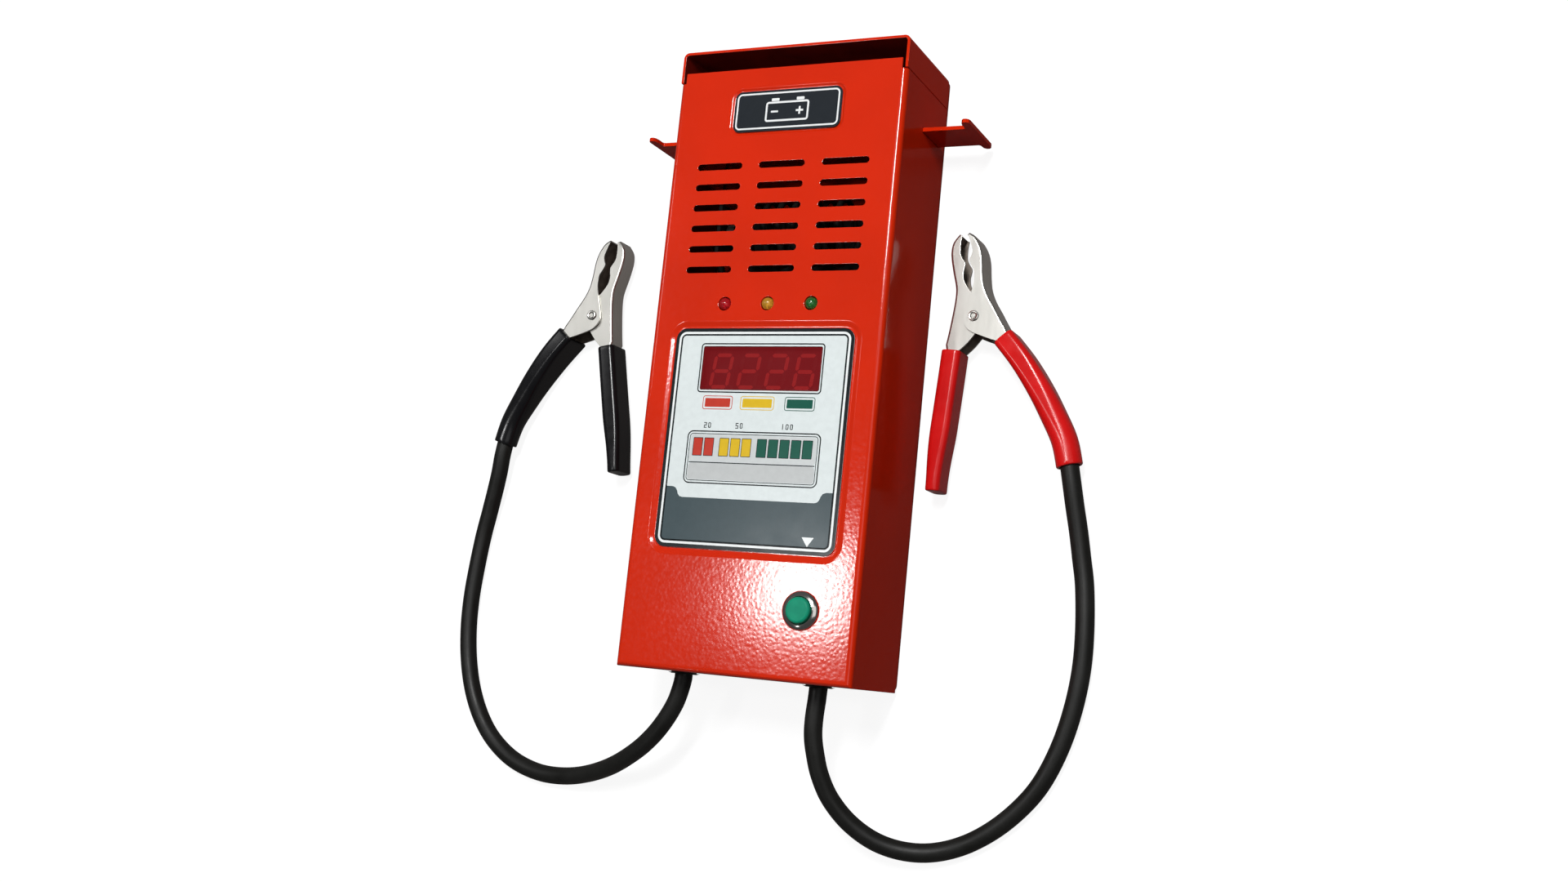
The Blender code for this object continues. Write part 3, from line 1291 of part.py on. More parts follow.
def channel(name, back, mouth, open_side, half_width, inward):
    """Folded sheet channel: two cheeks of the same outline, joined by a strip along the back."""
    outline = back + mouth
    body = plate(name, [outline], 2 * half_width)
    inside = beside(back, inward * CLAMP_SHEET)
    start = inside[0] - (inside[1] - inside[0]).normalized() * CLAMP_SHEET * 2
    pocket = plate(name + "_pocket", [[start] + inside + open_side], 2 * (half_width - CLAMP_SHEET))
    cut(body, pocket)
    cut(body, rod(name + "_hole", RIVET_RADIUS + GAP, 4 * half_width, (0, 0, 0), sides=16))
    return body


def loft(name, line, sections):
    """A tube of changing section along a line in XY: half width, half height and corner radius."""
    work = bmesh.new()
    rings = []
    for index, (point, (half_width, half_height, corner)) in enumerate(zip(line, sections)):
        before = line[max(index - 1, 0)]
        after = line[min(index + 1, len(line) - 1)]
        along = (after - before).normalized()
        ring = []
        for u, v in rounded_rect(2 * half_width, 2 * half_height, corner, 3):
            ring.append(work.verts.new((point.x - along.y * u, point.y + along.x * u, v)))
        rings.append(ring)
    sides = len(rings[0])
    for first, second in zip(rings, rings[1:]):
        for number in range(sides):
            other = (number + 1) % sides
            work.faces.new((first[number], first[other], second[other], second[number]))
    work.faces.new(rings[0])
    work.faces.new(rings[-1])
    bmesh.ops.recalc_face_normals(work, faces=work.faces)
    return from_bmesh(name, work)


def since(place, start, end):
    """How far a place is on the way from a start to an end, from 0 to 1."""
    return min(1.0, max(0.0, (place - start) / (end - start)))


def blend(first, second, share):
    return [a + (b - a) * share for a, b in zip(first, second)]


def longer(line, start, end):
    """The line with its ends drawn out straight by the given lengths."""
    first = line[0] - (line[1] - line[0]).normalized() * start
    last = line[-1] + (line[-1] - line[-2]).normalized() * end
    return [first] + line[1:-1] + [last]


def turned_about(points, pivot, angle):
    rotation = Matrix.Rotation(angle, 2)
    return [Vector(pivot) + rotation @ (Vector(point) - Vector(pivot)) for point in points]


def spring_clamp(side_name, hand, rivet, bend):
    """One clamp lying on the table; the left one is the right one mirrored."""
    pivot = bpy.data.objects.new("clamp_pivot_" + side_name, None)
    pivot.location = (*rivet, CLAMP_Z)
    parts.objects.link(pivot)

    def handed(points):
        return [Vector((hand * point[0], point[1])) for point in points]

    handle = handed(HANDLE_LINE)
    handle_fine = smooth(handle, 4)
    outside = beside(handle_fine, hand * CLAMP_HANDLE_HALF)
    inside = beside(handle_fine, -hand * CLAMP_HANDLE_HALF)
    back = outside[::-1] + smooth(handed(JAW_BACK), 2)[1:]
    mouth = smooth(handed(JAW_MOUTH), 2) + inside
    jaw = channel("clamp_jaw_" + side_name, back, mouth, handed(JAW_OPEN_SIDE), CLAMP_HALF_WIDTH, hand)
    finish(jaw, *BRIGHT_STEEL, parent=pivot)

    bent = turned_about(LEVER_LINE + LEVER_SLEEVE_TAIL, LEVER_LINE[0], bend)
    lever_line = handed(bent[:len(LEVER_LINE)])
    lever_fine = smooth(lever_line, 4)
    outside = beside(lever_fine, -hand * CLAMP_LEVER_HALF)
    inside = beside(lever_fine, hand * CLAMP_LEVER_HALF)
    back = outside[::-1] + smooth(handed(LEVER_BACK), 2)[1:]
    mouth = smooth(handed(LEVER_MOUTH), 2) + inside
    lever = channel(
        "clamp_lever_" + side_name, back, mouth, handed(LEVER_OPEN_SIDE), LEVER_HALF_WIDTH, -hand
    )
    finish(lever, *BRIGHT_STEEL, parent=pivot)

    sleeve_colour = RED_VINYL if hand > 0 else BLACK_VINYL
    sleeve_line = smooth(handle + handed(SLEEVE_TAIL), 2)
    count = len(sleeve_line) - 1
    bore = LEAD_DIAMETER / 2 + SLEEVE_BORE_CLEARANCE
    cavity = (CLAMP_HANDLE_HALF + GAP, CLAMP_HALF_WIDTH + GAP, GAP)
    skin = (cavity[0] + SLEEVE_WALL, cavity[1] + SLEEVE_WALL, SLEEVE_CORNER)
    end_skin = (SLEEVE_END_RADIUS, SLEEVE_END_RADIUS, SLEEVE_END_RADIUS - GAP)
    end_cavity = (bore, bore, bore - GAP / 4)
    sleeve = loft(
        "clamp_sleeve_" + side_name, sleeve_line,
        [blend(skin, end_skin, since(i / count, SLEEVE_ROUNDS_FROM, 1.0)) for i in range(count + 1)],
    )
    hollow = loft(
        "sleeve_hollow_" + side_name, longer(sleeve_line, SLEEVE_WALL, SLEEVE_WALL),
        [blend(cavity, end_cavity, since(i / count, *SLEEVE_HOLLOW_ROUNDS)) for i in range(count + 1)],
    )
    finish(cut(sleeve, hollow), *sleeve_colour, parent=pivot)

    lever_sleeve_line = smooth(handed(bent), 2)
    count = len(lever_sleeve_line) - 1
    cavity = (CLAMP_LEVER_HALF + GAP, LEVER_HALF_WIDTH + GAP, GAP)
    skin = (cavity[0] + SLEEVE_WALL, cavity[1] + SLEEVE_WALL, SLEEVE_CORNER)
    end_skin = (LEVER_SLEEVE_END_HALF, skin[1], LEVER_SLEEVE_END_CORNER)
    sleeve = loft(
        "lever_sleeve_" + side_name, lever_sleeve_line,
        [blend(skin, end_skin, since(i / count, LEVER_SLEEVE_NARROWS_FROM, 1.0)) for i in range(count + 1)],
    )
    held = smooth(lever_line, 2)
    hollow = loft("lever_hollow_" + side_name, longer(held, SLEEVE_WALL, SLEEVE_WALL), [cavity] * len(held))
    finish(cut(sleeve, hollow), *sleeve_colour, parent=pivot)

    head_low = CLAMP_HALF_WIDTH + GAP
    head_high = head_low + RIVET_HEAD_HEIGHT
    upper = [
        (0, head_high), (RIVET_HEAD_RADIUS, head_high), (RIVET_HEAD_RADIUS, head_low),
        (RIVET_RADIUS, head_low),
    ]
    profile = upper + [(radius, -height) for radius, height in upper[::-1]]
    finish(turned("clamp_rivet_" + side_name, profile, (0, 0, 0), 16), *BRIGHT_STEEL, parent=pivot)

    finish(torsion_spring(side_name, hand), *BRIGHT_STEEL, parent=pivot)


def torsion_spring(side_name, hand):
    """Wire wound round the rivet, each end running straight to the back of one jaw."""
    start, end = (Vector(point) for point in TORSION_ENDS)
    arrive = math.atan2(start.y, start.x) + math.acos(TORSION_RADIUS / start.length)
    leave = math.atan2(end.y, end.x) - math.acos(TORSION_RADIUS / end.length)
    sweep = (leave - arrive) % (2 * math.pi) + 2 * math.pi * (TORSION_TURNS - 1)
    height = 2 * (LEVER_HALF_WIDTH - CLAMP_SHEET - GAP) - TORSION_WIRE
    count = round(sweep / (2 * math.pi) * 8)
    coil = []
    for number in range(count + 1):
        angle = arrive + sweep * number / count
        coil.append(Vector((
            TORSION_RADIUS * math.cos(angle), TORSION_RADIUS * math.sin(angle),
            height * (number / count - 0.5),
        )))
    print("torsion spring least gap", least_gap(coil, TORSION_WIRE / 2, 5))
    points = [Vector((*start, coil[0].z))] + coil + [Vector((*end, coil[-1].z))]
    points = [Vector((hand * p.x, p.y, p.z)) for p in points]
    return tube("clamp_spring_" + side_name, points, TORSION_WIRE / 2, 1)


front_case()
top_cap()
rear_cover()
face_plates()
display()
circuit_board()
for colour_name, x in lamp_places().items():
    lamp(colour_name, x)
push_button()
terminal_block()
load_relay()
load_coil()
coil_bracket()
carrier_screw("relay_screw", RELAY_SCREW_Y, RELAY_TAB_SHEET)
carrier_screw("bracket_screw", COIL_Y, BRACKET_SHEET)
hookup_wires()
for name, hand in (("left", -1), ("right", 1)):
    clamp_holder(name, hand)
    grommet(name, hand)
    lead(name, hand)
    cable_lug(name, hand)
    clamp = CLAMP_SIDES[name]
    spring_clamp(name, clamp["hand"], clamp["rivet"], clamp["bend"])
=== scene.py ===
"""Looks of the battery tester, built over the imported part: the viewpoint and the table, the leads
with their clamps, then the case and everything that is fixed to it, from the outside in."""
import math

import bmesh
import bpy
from mathutils import Matrix, Vector


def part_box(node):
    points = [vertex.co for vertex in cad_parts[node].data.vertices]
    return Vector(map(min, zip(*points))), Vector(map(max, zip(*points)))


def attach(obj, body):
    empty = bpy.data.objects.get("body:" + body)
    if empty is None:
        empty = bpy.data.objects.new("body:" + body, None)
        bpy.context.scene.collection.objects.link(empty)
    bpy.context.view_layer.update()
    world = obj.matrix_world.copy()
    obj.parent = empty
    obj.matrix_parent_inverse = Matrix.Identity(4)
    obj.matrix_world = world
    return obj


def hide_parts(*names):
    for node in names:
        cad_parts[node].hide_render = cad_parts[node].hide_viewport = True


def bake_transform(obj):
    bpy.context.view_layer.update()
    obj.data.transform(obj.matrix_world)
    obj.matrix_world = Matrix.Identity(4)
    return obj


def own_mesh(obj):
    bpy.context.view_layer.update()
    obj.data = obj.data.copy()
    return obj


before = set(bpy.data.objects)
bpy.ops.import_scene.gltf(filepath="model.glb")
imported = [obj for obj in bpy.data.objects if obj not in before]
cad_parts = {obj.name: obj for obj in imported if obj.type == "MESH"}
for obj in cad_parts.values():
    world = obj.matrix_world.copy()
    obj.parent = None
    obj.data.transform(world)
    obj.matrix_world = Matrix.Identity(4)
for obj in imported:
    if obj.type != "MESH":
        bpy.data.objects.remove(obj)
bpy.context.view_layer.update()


# Viewpoint, lamps and table.
# The tester lies on its back on a plain white table, seen from above and a little from its right. One
# strong soft lamp above its upper end lights it, a weak one gives the panel its sheen, and four fill in.
BACKGROUND_WHITE = 0.90
REFLECTED_SHARE = 0.08
TABLE_REACH = 40.0


def placed(name, data):
    """An object in the scene, at the origin."""
    piece = bpy.data.objects.new(name, data)
    bpy.context.scene.collection.objects.link(piece)
    return piece


camera_data = bpy.data.cameras.new("viewpoint")
camera_data.sensor_width = 36.0
camera_data.lens = 37.13
camera = placed("viewpoint", camera_data)
camera.location = (0.27871, -0.12589, 0.59967)
camera.rotation_euler = [math.radians(angle) for angle in (11.121, 24.718, 6.316)]
bpy.context.scene.camera = camera
bpy.context.scene.view_settings.view_transform = "Standard"


def soft_box(name, place, target, width, height, watts):
    """A rectangular lamp turned to a point."""
    lamp_data = bpy.data.lights.new(name, "AREA")
    lamp_data.shape = "RECTANGLE"
    lamp_data.size = width
    lamp_data.size_y = height
    lamp_data.energy = watts
    lamp_box = placed(name, lamp_data)
    lamp_box.location = place
    lamp_box.rotation_euler = (Vector(target) - Vector(place)).to_track_quat("-Z", "Y").to_euler()


soft_box("glare_box", (-0.406, -0.028, 1.00), (0.0, -0.06, 0.04), 0.085, 0.095, 1.15)
soft_box("front_box", (-0.55, -0.95, 1.05), (0.0, 0.0, 0.03), 0.14, 0.14, 0.5)
soft_box("key_box", (0.20, 0.44, 1.25), (0.0, 0.02, 0.03), 0.18, 0.40, 13.5)
soft_box("right_box", (0.62, -0.02, 0.92), (0.03, -0.02, 0.03), 0.70, 0.70, 1.5)
soft_box("left_clamp_box", (-1.06, 0.42, 1.25), (-0.10, 0.05, 0.02), 0.28, 0.28, 1.0)
soft_box("right_clamp_box", (-0.20, 0.43, 1.25), (0.08, 0.05, 0.02), 0.16, 0.24, 0.24)


def feed(node, inputs):
    """Give each input of a node, by name or by number, its value or the output that drives it."""
    for key, value in inputs.items() if isinstance(inputs, dict) else enumerate(inputs):
        if isinstance(value, bpy.types.NodeSocket):
            node.id_data.links.new(value, node.inputs[key])
        else:
            node.inputs[key].default_value = value
    return node


def added(tree, kind, inputs=(), **settings):
    """A new shader node with its settings and inputs."""
    node = tree.nodes.new("ShaderNode" + kind)
    for name, value in settings.items():
        setattr(node, name, value)
    return feed(node, inputs)


def worked_out(tree, operation, *inputs):
    """The outcome of a sum on shader values."""
    return added(tree, "Math", inputs, operation=operation).outputs[0]


def background_seen(tree):
    """All of the white background for the camera and through glass, and a share of it in reflections."""
    ray = added(tree, "LightPath").outputs
    straight = worked_out(tree, "MAXIMUM", ray["Is Camera Ray"], ray["Is Transmission Ray"])
    reflected = worked_out(tree, "MULTIPLY", ray["Is Glossy Ray"], REFLECTED_SHARE)
    seen = worked_out(tree, "MAXIMUM", straight, reflected)
    return seen, worked_out(tree, "MULTIPLY", seen, BACKGROUND_WHITE)


sky = bpy.data.worlds.new("studio")
bpy.context.scene.world = sky
sky.use_nodes = True
sky_way = added(sky.node_tree, "TexCoord").outputs["Generated"]
bright_side = (-0.38, 0.45, 0.81)
sky_side = added(sky.node_tree, "VectorMath", (sky_way, bright_side), operation="DOT_PRODUCT")
sky_level = added(sky.node_tree, "MapRange", {
    "Value": sky_side.outputs["Value"], "From Min": -0.25, "From Max": 0.95, "To Min": 0.03, "To Max": 0.10,
}, interpolation_type="SMOOTHSTEP")
sky_white = background_seen(sky.node_tree)[1]
sky_shown = worked_out(sky.node_tree, "MAXIMUM", sky_level.outputs["Result"], sky_white)
feed(sky.node_tree.nodes["Background"], {"Color": sky_shown})

table_mesh = bpy.data.meshes.new("table")
table_work = bmesh.new()
bmesh.ops.create_grid(table_work, x_segments=1, y_segments=1, size=TABLE_REACH)
table_work.to_mesh(table_mesh)
table_work.free()
table = placed("table", table_mesh)
table_paint = bpy.data.materials.new("table_white")
table_paint.use_nodes = True
table_seen, table_glow = background_seen(table_paint.node_tree)
table_tone = added(table_paint.node_tree, "Mix", {
    "Factor": table_seen, "A": (0.10, 0.085, 0.08, 1.0), "B": (0.18, 0.18, 0.18, 1.0),
}, data_type="RGBA")
feed(table_paint.node_tree.nodes["Principled BSDF"], {
    "Base Color": table_tone.outputs["Result"], "Roughness": 0.9, "Specular IOR Level": 0.0,
    "Emission Color": (1.0, 1.0, 1.0, 1.0), "Emission Strength": table_glow,
})
table_mesh.materials.append(table_paint)


# Leads.
# Two thick black rubber leads leave the lower end of the case, drop to the table in one loop each
# and run up its sides to the clamps. Rubber jacket over stranded copper, moulded smooth.
LEAD_RADIUS = 0.0036
LEAD_ROUTES = {
    "left": (
        (-0.0305, -0.1255, 0.0270), (-0.0305, -0.1285, 0.0270), (-0.0312, -0.1325, 0.0270),
        (-0.0332, -0.1385, 0.0266), (-0.0375, -0.1457, 0.0256), (-0.0437, -0.1527, 0.0236),
        (-0.0525, -0.1595, 0.0202), (-0.0660, -0.1667, 0.0142), (-0.0805, -0.1717, 0.0086),
        (-0.0945, -0.1743, 0.0049), (-0.1080, -0.1742, 0.0037), (-0.1210, -0.1706, 0.0037),
        (-0.1320, -0.1638, 0.0037), (-0.1402, -0.1550, 0.0037), (-0.1466, -0.1438, 0.0037),
        (-0.1509, -0.1310, 0.0037), (-0.1533, -0.1170, 0.0037), (-0.1539, -0.1030, 0.0037),
        (-0.1531, -0.0890, 0.0037), (-0.1516, -0.0750, 0.0038), (-0.1492, -0.0640, 0.0047),
        (-0.1467, -0.0535, 0.0060), (-0.1451, -0.0460, 0.0070), (-0.1442, -0.0395, 0.0077),
        (-0.1433, -0.0338, 0.0079), (-0.1410, -0.0255, 0.0079),
    ),
    "right": (
        (0.0282, -0.1255, 0.0270), (0.0280, -0.1315, 0.0270), (0.0275, -0.1385, 0.0268),
        (0.0275, -0.1450, 0.0262), (0.0285, -0.1515, 0.0251), (0.0304, -0.1595, 0.0230),
        (0.0342, -0.1680, 0.0198), (0.0410, -0.1760, 0.0158), (0.0500, -0.1818, 0.0118),
        (0.0600, -0.1844, 0.0081), (0.0710, -0.1839, 0.0053), (0.0825, -0.1800, 0.0039),
        (0.0935, -0.1732, 0.0037), (0.1033, -0.1642, 0.0037), (0.1110, -0.1540, 0.0037),
        (0.1170, -0.1407, 0.0037), (0.1210, -0.1262, 0.0037), (0.1232, -0.1110, 0.0037),
        (0.1234, -0.0960, 0.0037), (0.1222, -0.0800, 0.0037), (0.1203, -0.0690, 0.0040),
        (0.1186, -0.0590, 0.0049), (0.1169, -0.0500, 0.0062), (0.1155, -0.0420, 0.0073),
        (0.1142, -0.0350, 0.0079), (0.1119, -0.0267, 0.0079),
    ),
}


def through(points, per_span):
    """Points on a smooth curve through the given ones, with their ends kept."""
    points = [Vector(point) for point in points]
    line = []
    for index in range(len(points) - 1):
        before = points[max(index - 1, 0)]
        start, end = points[index], points[index + 1]
        after = points[min(index + 2, len(points) - 1)]
        for step in range(per_span):
            share = step / per_span
            square, cube = share**2, share**3
            line.append(
                start * (2 * cube - 3 * square + 1) + end * (3 * square - 2 * cube)
                + (end - before) / 2 * (cube - 2 * square + share) + (after - start) / 2 * (cube - square)
            )
    return line + [points[-1]]


def routed(route, per_span):
    """A wire's line: straight at its ends, smooth between."""
    return [Vector(route[0])] + through(route[1:-1], per_span) + [Vector(route[-1])]


def surface(made):
    """The shader of a finish."""
    return made.node_tree.nodes["Principled BSDF"]


def finish_of(name, colour, roughness, metallic=0.0, **extra):
    """A Principled material with plain values on its own sockets."""
    made = bpy.data.materials.new(name)
    made.use_nodes = True
    feed(surface(made), {"Base Color": (*colour, 1.0), "Roughness": roughness, "Metallic": metallic})
    feed(surface(made), {socket.replace("_", " "): value for socket, value in extra.items()})
    return made


def noise_of(made, scale, detail, stretch):
    """A noise on the piece's own coordinates, stretched where the surface has a direction."""
    tree = made.node_tree
    place = added(tree, "TexCoord").outputs["Object"]
    drawn = added(tree, "Mapping", {"Vector": place, "Scale": stretch}).outputs["Vector"]
    return added(tree, "TexNoise", {"Vector": drawn, "Scale": scale, "Detail": detail}).outputs["Fac"]


def drifting(made, scale, low, high, stretch=(1.0, 1.0, 1.0)):
    """A value that drifts between two others over the surface."""
    return added(made.node_tree, "MapRange", {
        "Value": noise_of(made, scale, 3.0, stretch), "From Min": 0.35, "From Max": 0.65,
        "To Min": low, "To Max": high,
    }).outputs["Result"]


def grained(made, scale, height, strength, stretch=(1.0, 1.0, 1.0)):
    """Fine relief on the surface."""
    noise = noise_of(made, scale, 2.0, stretch)
    bump = added(made.node_tree, "Bump", {"Height": noise, "Strength": strength, "Distance": height})
    feed(surface(made), {"Normal": bump.outputs["Normal"]})


def clouded(made, first, second, scale):
    """Colour that drifts between two tones over the surface."""
    tone = added(made.node_tree, "Mix", {
        "Factor": drifting(made, scale, 0.0, 1.0), "A": (*first, 1.0), "B": (*second, 1.0),
    }, data_type="RGBA")
    feed(surface(made), {"Base Color": tone.outputs["Result"]})


def scuffed(made, smooth, dull, scale, stretch=(1.0, 1.0, 1.0)):
    """Roughness that drifts between two values."""
    feed(surface(made), {"Roughness": drifting(made, scale, smooth, dull, stretch)})


def wire_curve(name, line, radius, sides, made):
    """A round wire or jacket along a line, as a curve with closed ends."""
    curve = bpy.data.curves.new(name, "CURVE")
    curve.dimensions = "3D"
    curve.bevel_depth = radius
    curve.bevel_resolution = sides
    curve.use_fill_caps = True
    spline = curve.splines.new("POLY")
    spline.points.add(len(line) - 1)
    for point, place in zip(spline.points, line):
        point.co = (*place, 1.0)
    spline.use_smooth = True
    curve.materials.append(made)
    return placed(name, curve)


def fix(piece, body, slot, *stands_for):
    """Tie a finished piece to its body and hide the solids that it stands for. The slot is not used."""
    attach(piece, body)
    if stands_for:
        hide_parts(*stands_for)
    return piece


lead_rubber = finish_of("lead_rubber", (0.010, 0.010, 0.009), 0.46, Specular_IOR_Level=0.28)
clouded(lead_rubber, (0.008, 0.008, 0.007), (0.013, 0.013, 0.012), 60.0)
scuffed(lead_rubber, 0.40, 0.50, 220.0)
grained(lead_rubber, 1500.0, 0.00002, 0.3)
lead_lines = {}
for side_name, route in LEAD_ROUTES.items():
    lead_lines[side_name] = routed(route, 6)
    lead_jacket = wire_curve("jacket_" + side_name, lead_lines[side_name], LEAD_RADIUS, 8, lead_rubber)
    fix(lead_jacket, "tester", "cable_rubber", "lead_" + side_name)


# Clamps: the two pressed halves.
# Satin nickel-plated sheet folded to a channel, the back of each half joining its two cheeks round
# a soft bend. The half on the lead stays still; the loose lever sits inside it on a rivet.
CLAMP_HEIGHT = 0.0079
SHEET_OF_CLAMP = 0.0009
JAW_HALF = 0.0061
LEVER_HALF = 0.0049
BACK_BEND = 0.0011
CLAMP_EDGE = 0.00014
RIVETS = {"left": (-1, (-0.1022, 0.0235), -3.1), "right": (1, (0.0731, 0.0223), 5.1)}
JAW_BACK = (
    (0.0141, -0.0055), (0.0117, -0.0021), (0.0084, 0.0033), (0.0052, 0.0084), (0.0033, 0.0128),
    (0.0024, 0.0175), (0.0016, 0.0242), (0.0003, 0.0285), (-0.0021, 0.0323), (-0.0047, 0.0340),
)
JAW_MOUTH = (
    (-0.0052, 0.0332), (-0.0040, 0.0304), (-0.0028, 0.0268), (-0.0030, 0.0247), (-0.0037, 0.0227),
    (-0.0027, 0.0204), (-0.0013, 0.0179), (-0.0011, 0.0141), (-0.0016, 0.0108), (-0.0023, 0.0072),
    (-0.0035, 0.0029), (-0.0042, -0.0005), (-0.0037, -0.0030), (-0.0020, -0.0052),
    (0.0008, -0.0068), (0.0055, -0.0085), (0.0096, -0.0098),
)
HANDLE_LINE = ((0.0124, -0.0082), (0.0202, -0.0173), (0.0276, -0.0279))
HANDLE_HALF = 0.0026
LEVER_BACK = (
    (-0.0115, -0.0128), (-0.0108, -0.0090), (-0.0098, -0.0020), (-0.0090, 0.0052),
    (-0.0088, 0.0098), (-0.0092, 0.0129), (-0.0106, 0.0180), (-0.0118, 0.0232),
    (-0.0122, 0.0268), (-0.0116, 0.0304), (-0.0092, 0.0338),
)
LEVER_MOUTH = (
    (-0.0079, 0.0331), (-0.0083, 0.0299), (-0.0081, 0.0258), (-0.0071, 0.0237), (-0.0058, 0.0216),
    (-0.0060, 0.0191), (-0.0062, 0.0175), (-0.0057, 0.0148), (-0.0042, 0.0122), (-0.0020, 0.0095),
    (0.0015, 0.0062), (0.0036, 0.0026), (0.0038, -0.0015), (0.0024, -0.0050), (0.0008, -0.0068),
    (-0.0020, -0.0104), (-0.0052, -0.0136),
)
LEVER_LINE = ((-0.0084, -0.0135), (-0.0102, -0.0255), (-0.0127, -0.0415))
LEVER_TAIL = ((-0.0150, -0.0560), (-0.0164, -0.0690))
LEVER_HANDLE_HALF = 0.0023


def beside(line, distance):
    """A flat line moved sideways, to its left for a positive distance."""
    moved = []
    for index, point in enumerate(line):
        along = line[min(index + 1, len(line) - 1)] - line[max(index - 1, 0)]
        along = along.to_2d().normalized()
        moved.append(Vector((point.x - along.y * distance, point.y + along.x * distance)))
    return moved


def from_work(name, work, made=None):
    """A finished bmesh as an object."""
    mesh = bpy.data.meshes.new(name)
    work.to_mesh(mesh)
    work.free()
    if made:
        mesh.materials.append(made)
    return placed(name, mesh)


def meshed(piece):
    """The mesh that a piece gives with its modifiers or as a curve."""
    bpy.context.view_layer.update()
    return bpy.data.meshes.new_from_object(piece.evaluated_get(bpy.context.evaluated_depsgraph_get()))


def settled(piece):
    """Bake a piece's modifiers into its mesh."""
    mesh = meshed(piece)
    mesh.name = piece.data.name
    piece.modifiers.clear()
    piece.data = mesh
    return piece


def shade(piece, degrees):
    """Smooth shading with sharp edges above an angle."""
    piece.data.shade_smooth()
    piece.data.set_sharp_from_angle(angle=math.radians(degrees))
    weigh = piece.modifiers.new("normals", "WEIGHTED_NORMAL")
    weigh.keep_sharp = True
    return settled(piece)


def eased(piece, width, segments, degrees):
    """Break the sharp edges of a piece."""
    bevel = piece.modifiers.new("edges", "BEVEL")
    bevel.width = width
    bevel.segments = segments
    bevel.limit_method = "ANGLE"
    bevel.angle_limit = math.radians(degrees)
    bevel.use_clamp_overlap = True
    return settled(piece)


def pressed_half(name, back, mouth, half, inward, rivet, made, shaded_inside_made):
    """One half of a clamp: two cheeks of one outline, joined along the back round a soft bend."""
    work = bmesh.new()
    inner = half - SHEET_OF_CLAMP
    bend = []
    for step in range(7):
        angle = math.pi / 2 * step / 6
        bend.append((BACK_BEND * (1 - math.sin(angle)), half - BACK_BEND * (1 - math.cos(angle))))
    bend += [(distance, -height) for distance, height in bend[::-1]]

    def row(line, height):
        return [work.verts.new((point.x, point.y, height)) for point in line]

    outer = [row(beside(back, inward * distance), height) for distance, height in bend]
    inside = beside(back, inward * SHEET_OF_CLAMP)
    inner_rows = [row(inside, inner), row(inside, -inner)]
    rims = [row(mouth, height) for height in (half, inner, -inner, -half)]
    strips = list(zip(outer, outer[1:])) + [(rims[0], rims[1]), (rims[2], rims[3]), tuple(inner_rows)]
    for first, second in strips:
        for number in range(len(first) - 1):
            strip = work.faces.new((first[number], first[number + 1], second[number + 1], second[number]))
            strip.material_index = int(first is inner_rows[0])
    for line, rim in ((outer[0], rims[0]), (outer[-1], rims[3])):
        work.faces.new(line + rim)
    for line, rim in ((inner_rows[0], rims[1]), (inner_rows[1], rims[2])):
        work.faces.new(line + rim).material_index = 1
    for end, rim_end in ((0, -1), (-1, 0)):
        work.faces.new(
            [line[end] for line in outer] + [rims[3][rim_end], rims[2][rim_end]]
            + [inner_rows[1][end], inner_rows[0][end], rims[1][rim_end], rims[0][rim_end]]
        )
    bmesh.ops.recalc_face_normals(work, faces=work.faces)
    body = from_work(name, work, made)
    # The faces inside the channel take the second finish, darker: painted shade inside the jaws.
    body.data.materials.append(shaded_inside_made)
    eased(body, CLAMP_EDGE, 2, 60.0)
    body.data.transform(Matrix.Translation((*rivet, CLAMP_HEIGHT)))
    return shade(body, 40.0)


clamp_nickel = finish_of("clamp_nickel", (0.66, 0.65, 0.61), 0.32, 1.0)
clouded(clamp_nickel, (0.62, 0.61, 0.57), (0.68, 0.67, 0.63), 60.0)
scuffed(clamp_nickel, 0.31, 0.34, 500.0, stretch=(1.0, 0.15, 1.0))
grained(clamp_nickel, 700.0, 0.00001, 0.06, stretch=(1.0, 0.2, 1.0))
# Darker brownish steel for the inside of the channel, as painted shade in the jaws.
dull_steel = finish_of("dull_steel", (0.20, 0.165, 0.135), 0.55, 0.3)
clouded(dull_steel, (0.15, 0.120, 0.095), (0.26, 0.215, 0.180), 300.0)
scuffed(dull_steel, 0.46, 0.64, 400.0)
clamp_pieces = {"left": [], "right": []}
lever_lines = {}
for side_name, (hand, rivet, bent) in RIVETS.items():
    def handed(points):
        return [Vector((hand * point[0], point[1])) for point in points]

    handle = through(handed(HANDLE_LINE), 6)
    back = beside(handle, hand * HANDLE_HALF)[::-1] + through(handed(JAW_BACK), 6)[3:]
    mouth = through(handed(JAW_MOUTH), 5) + beside(handle, -hand * HANDLE_HALF)
    jaw = pressed_half("jaw_" + side_name, back, mouth, JAW_HALF, hand, rivet, clamp_nickel, dull_steel)
    clamp_pieces[side_name].append(fix(jaw, "tester", "clamp_nickel", "clamp_jaw_" + side_name))

    turn = Matrix.Rotation(math.radians(bent), 2)
    first = Vector(LEVER_LINE[0])
    bent_line = [first + turn @ (Vector(point) - first) for point in LEVER_LINE + LEVER_TAIL]
    lever_lines[side_name] = handed(bent_line)
    handle = through(lever_lines[side_name][:3], 6)
    back = beside(handle, -hand * LEVER_HANDLE_HALF)[::-1] + through(handed(LEVER_BACK), 6)[3:]
    mouth = through(handed(LEVER_MOUTH), 5) + beside(handle, hand * LEVER_HANDLE_HALF)
    lever_name = "lever_" + side_name
    lever = pressed_half(lever_name, back, mouth, LEVER_HALF, -hand, rivet, clamp_nickel, dull_steel)
    fix(lever, side_name + "_lever", "clamp_nickel", "clamp_lever_" + side_name)
    clamp_pieces[side_name].append(lever)


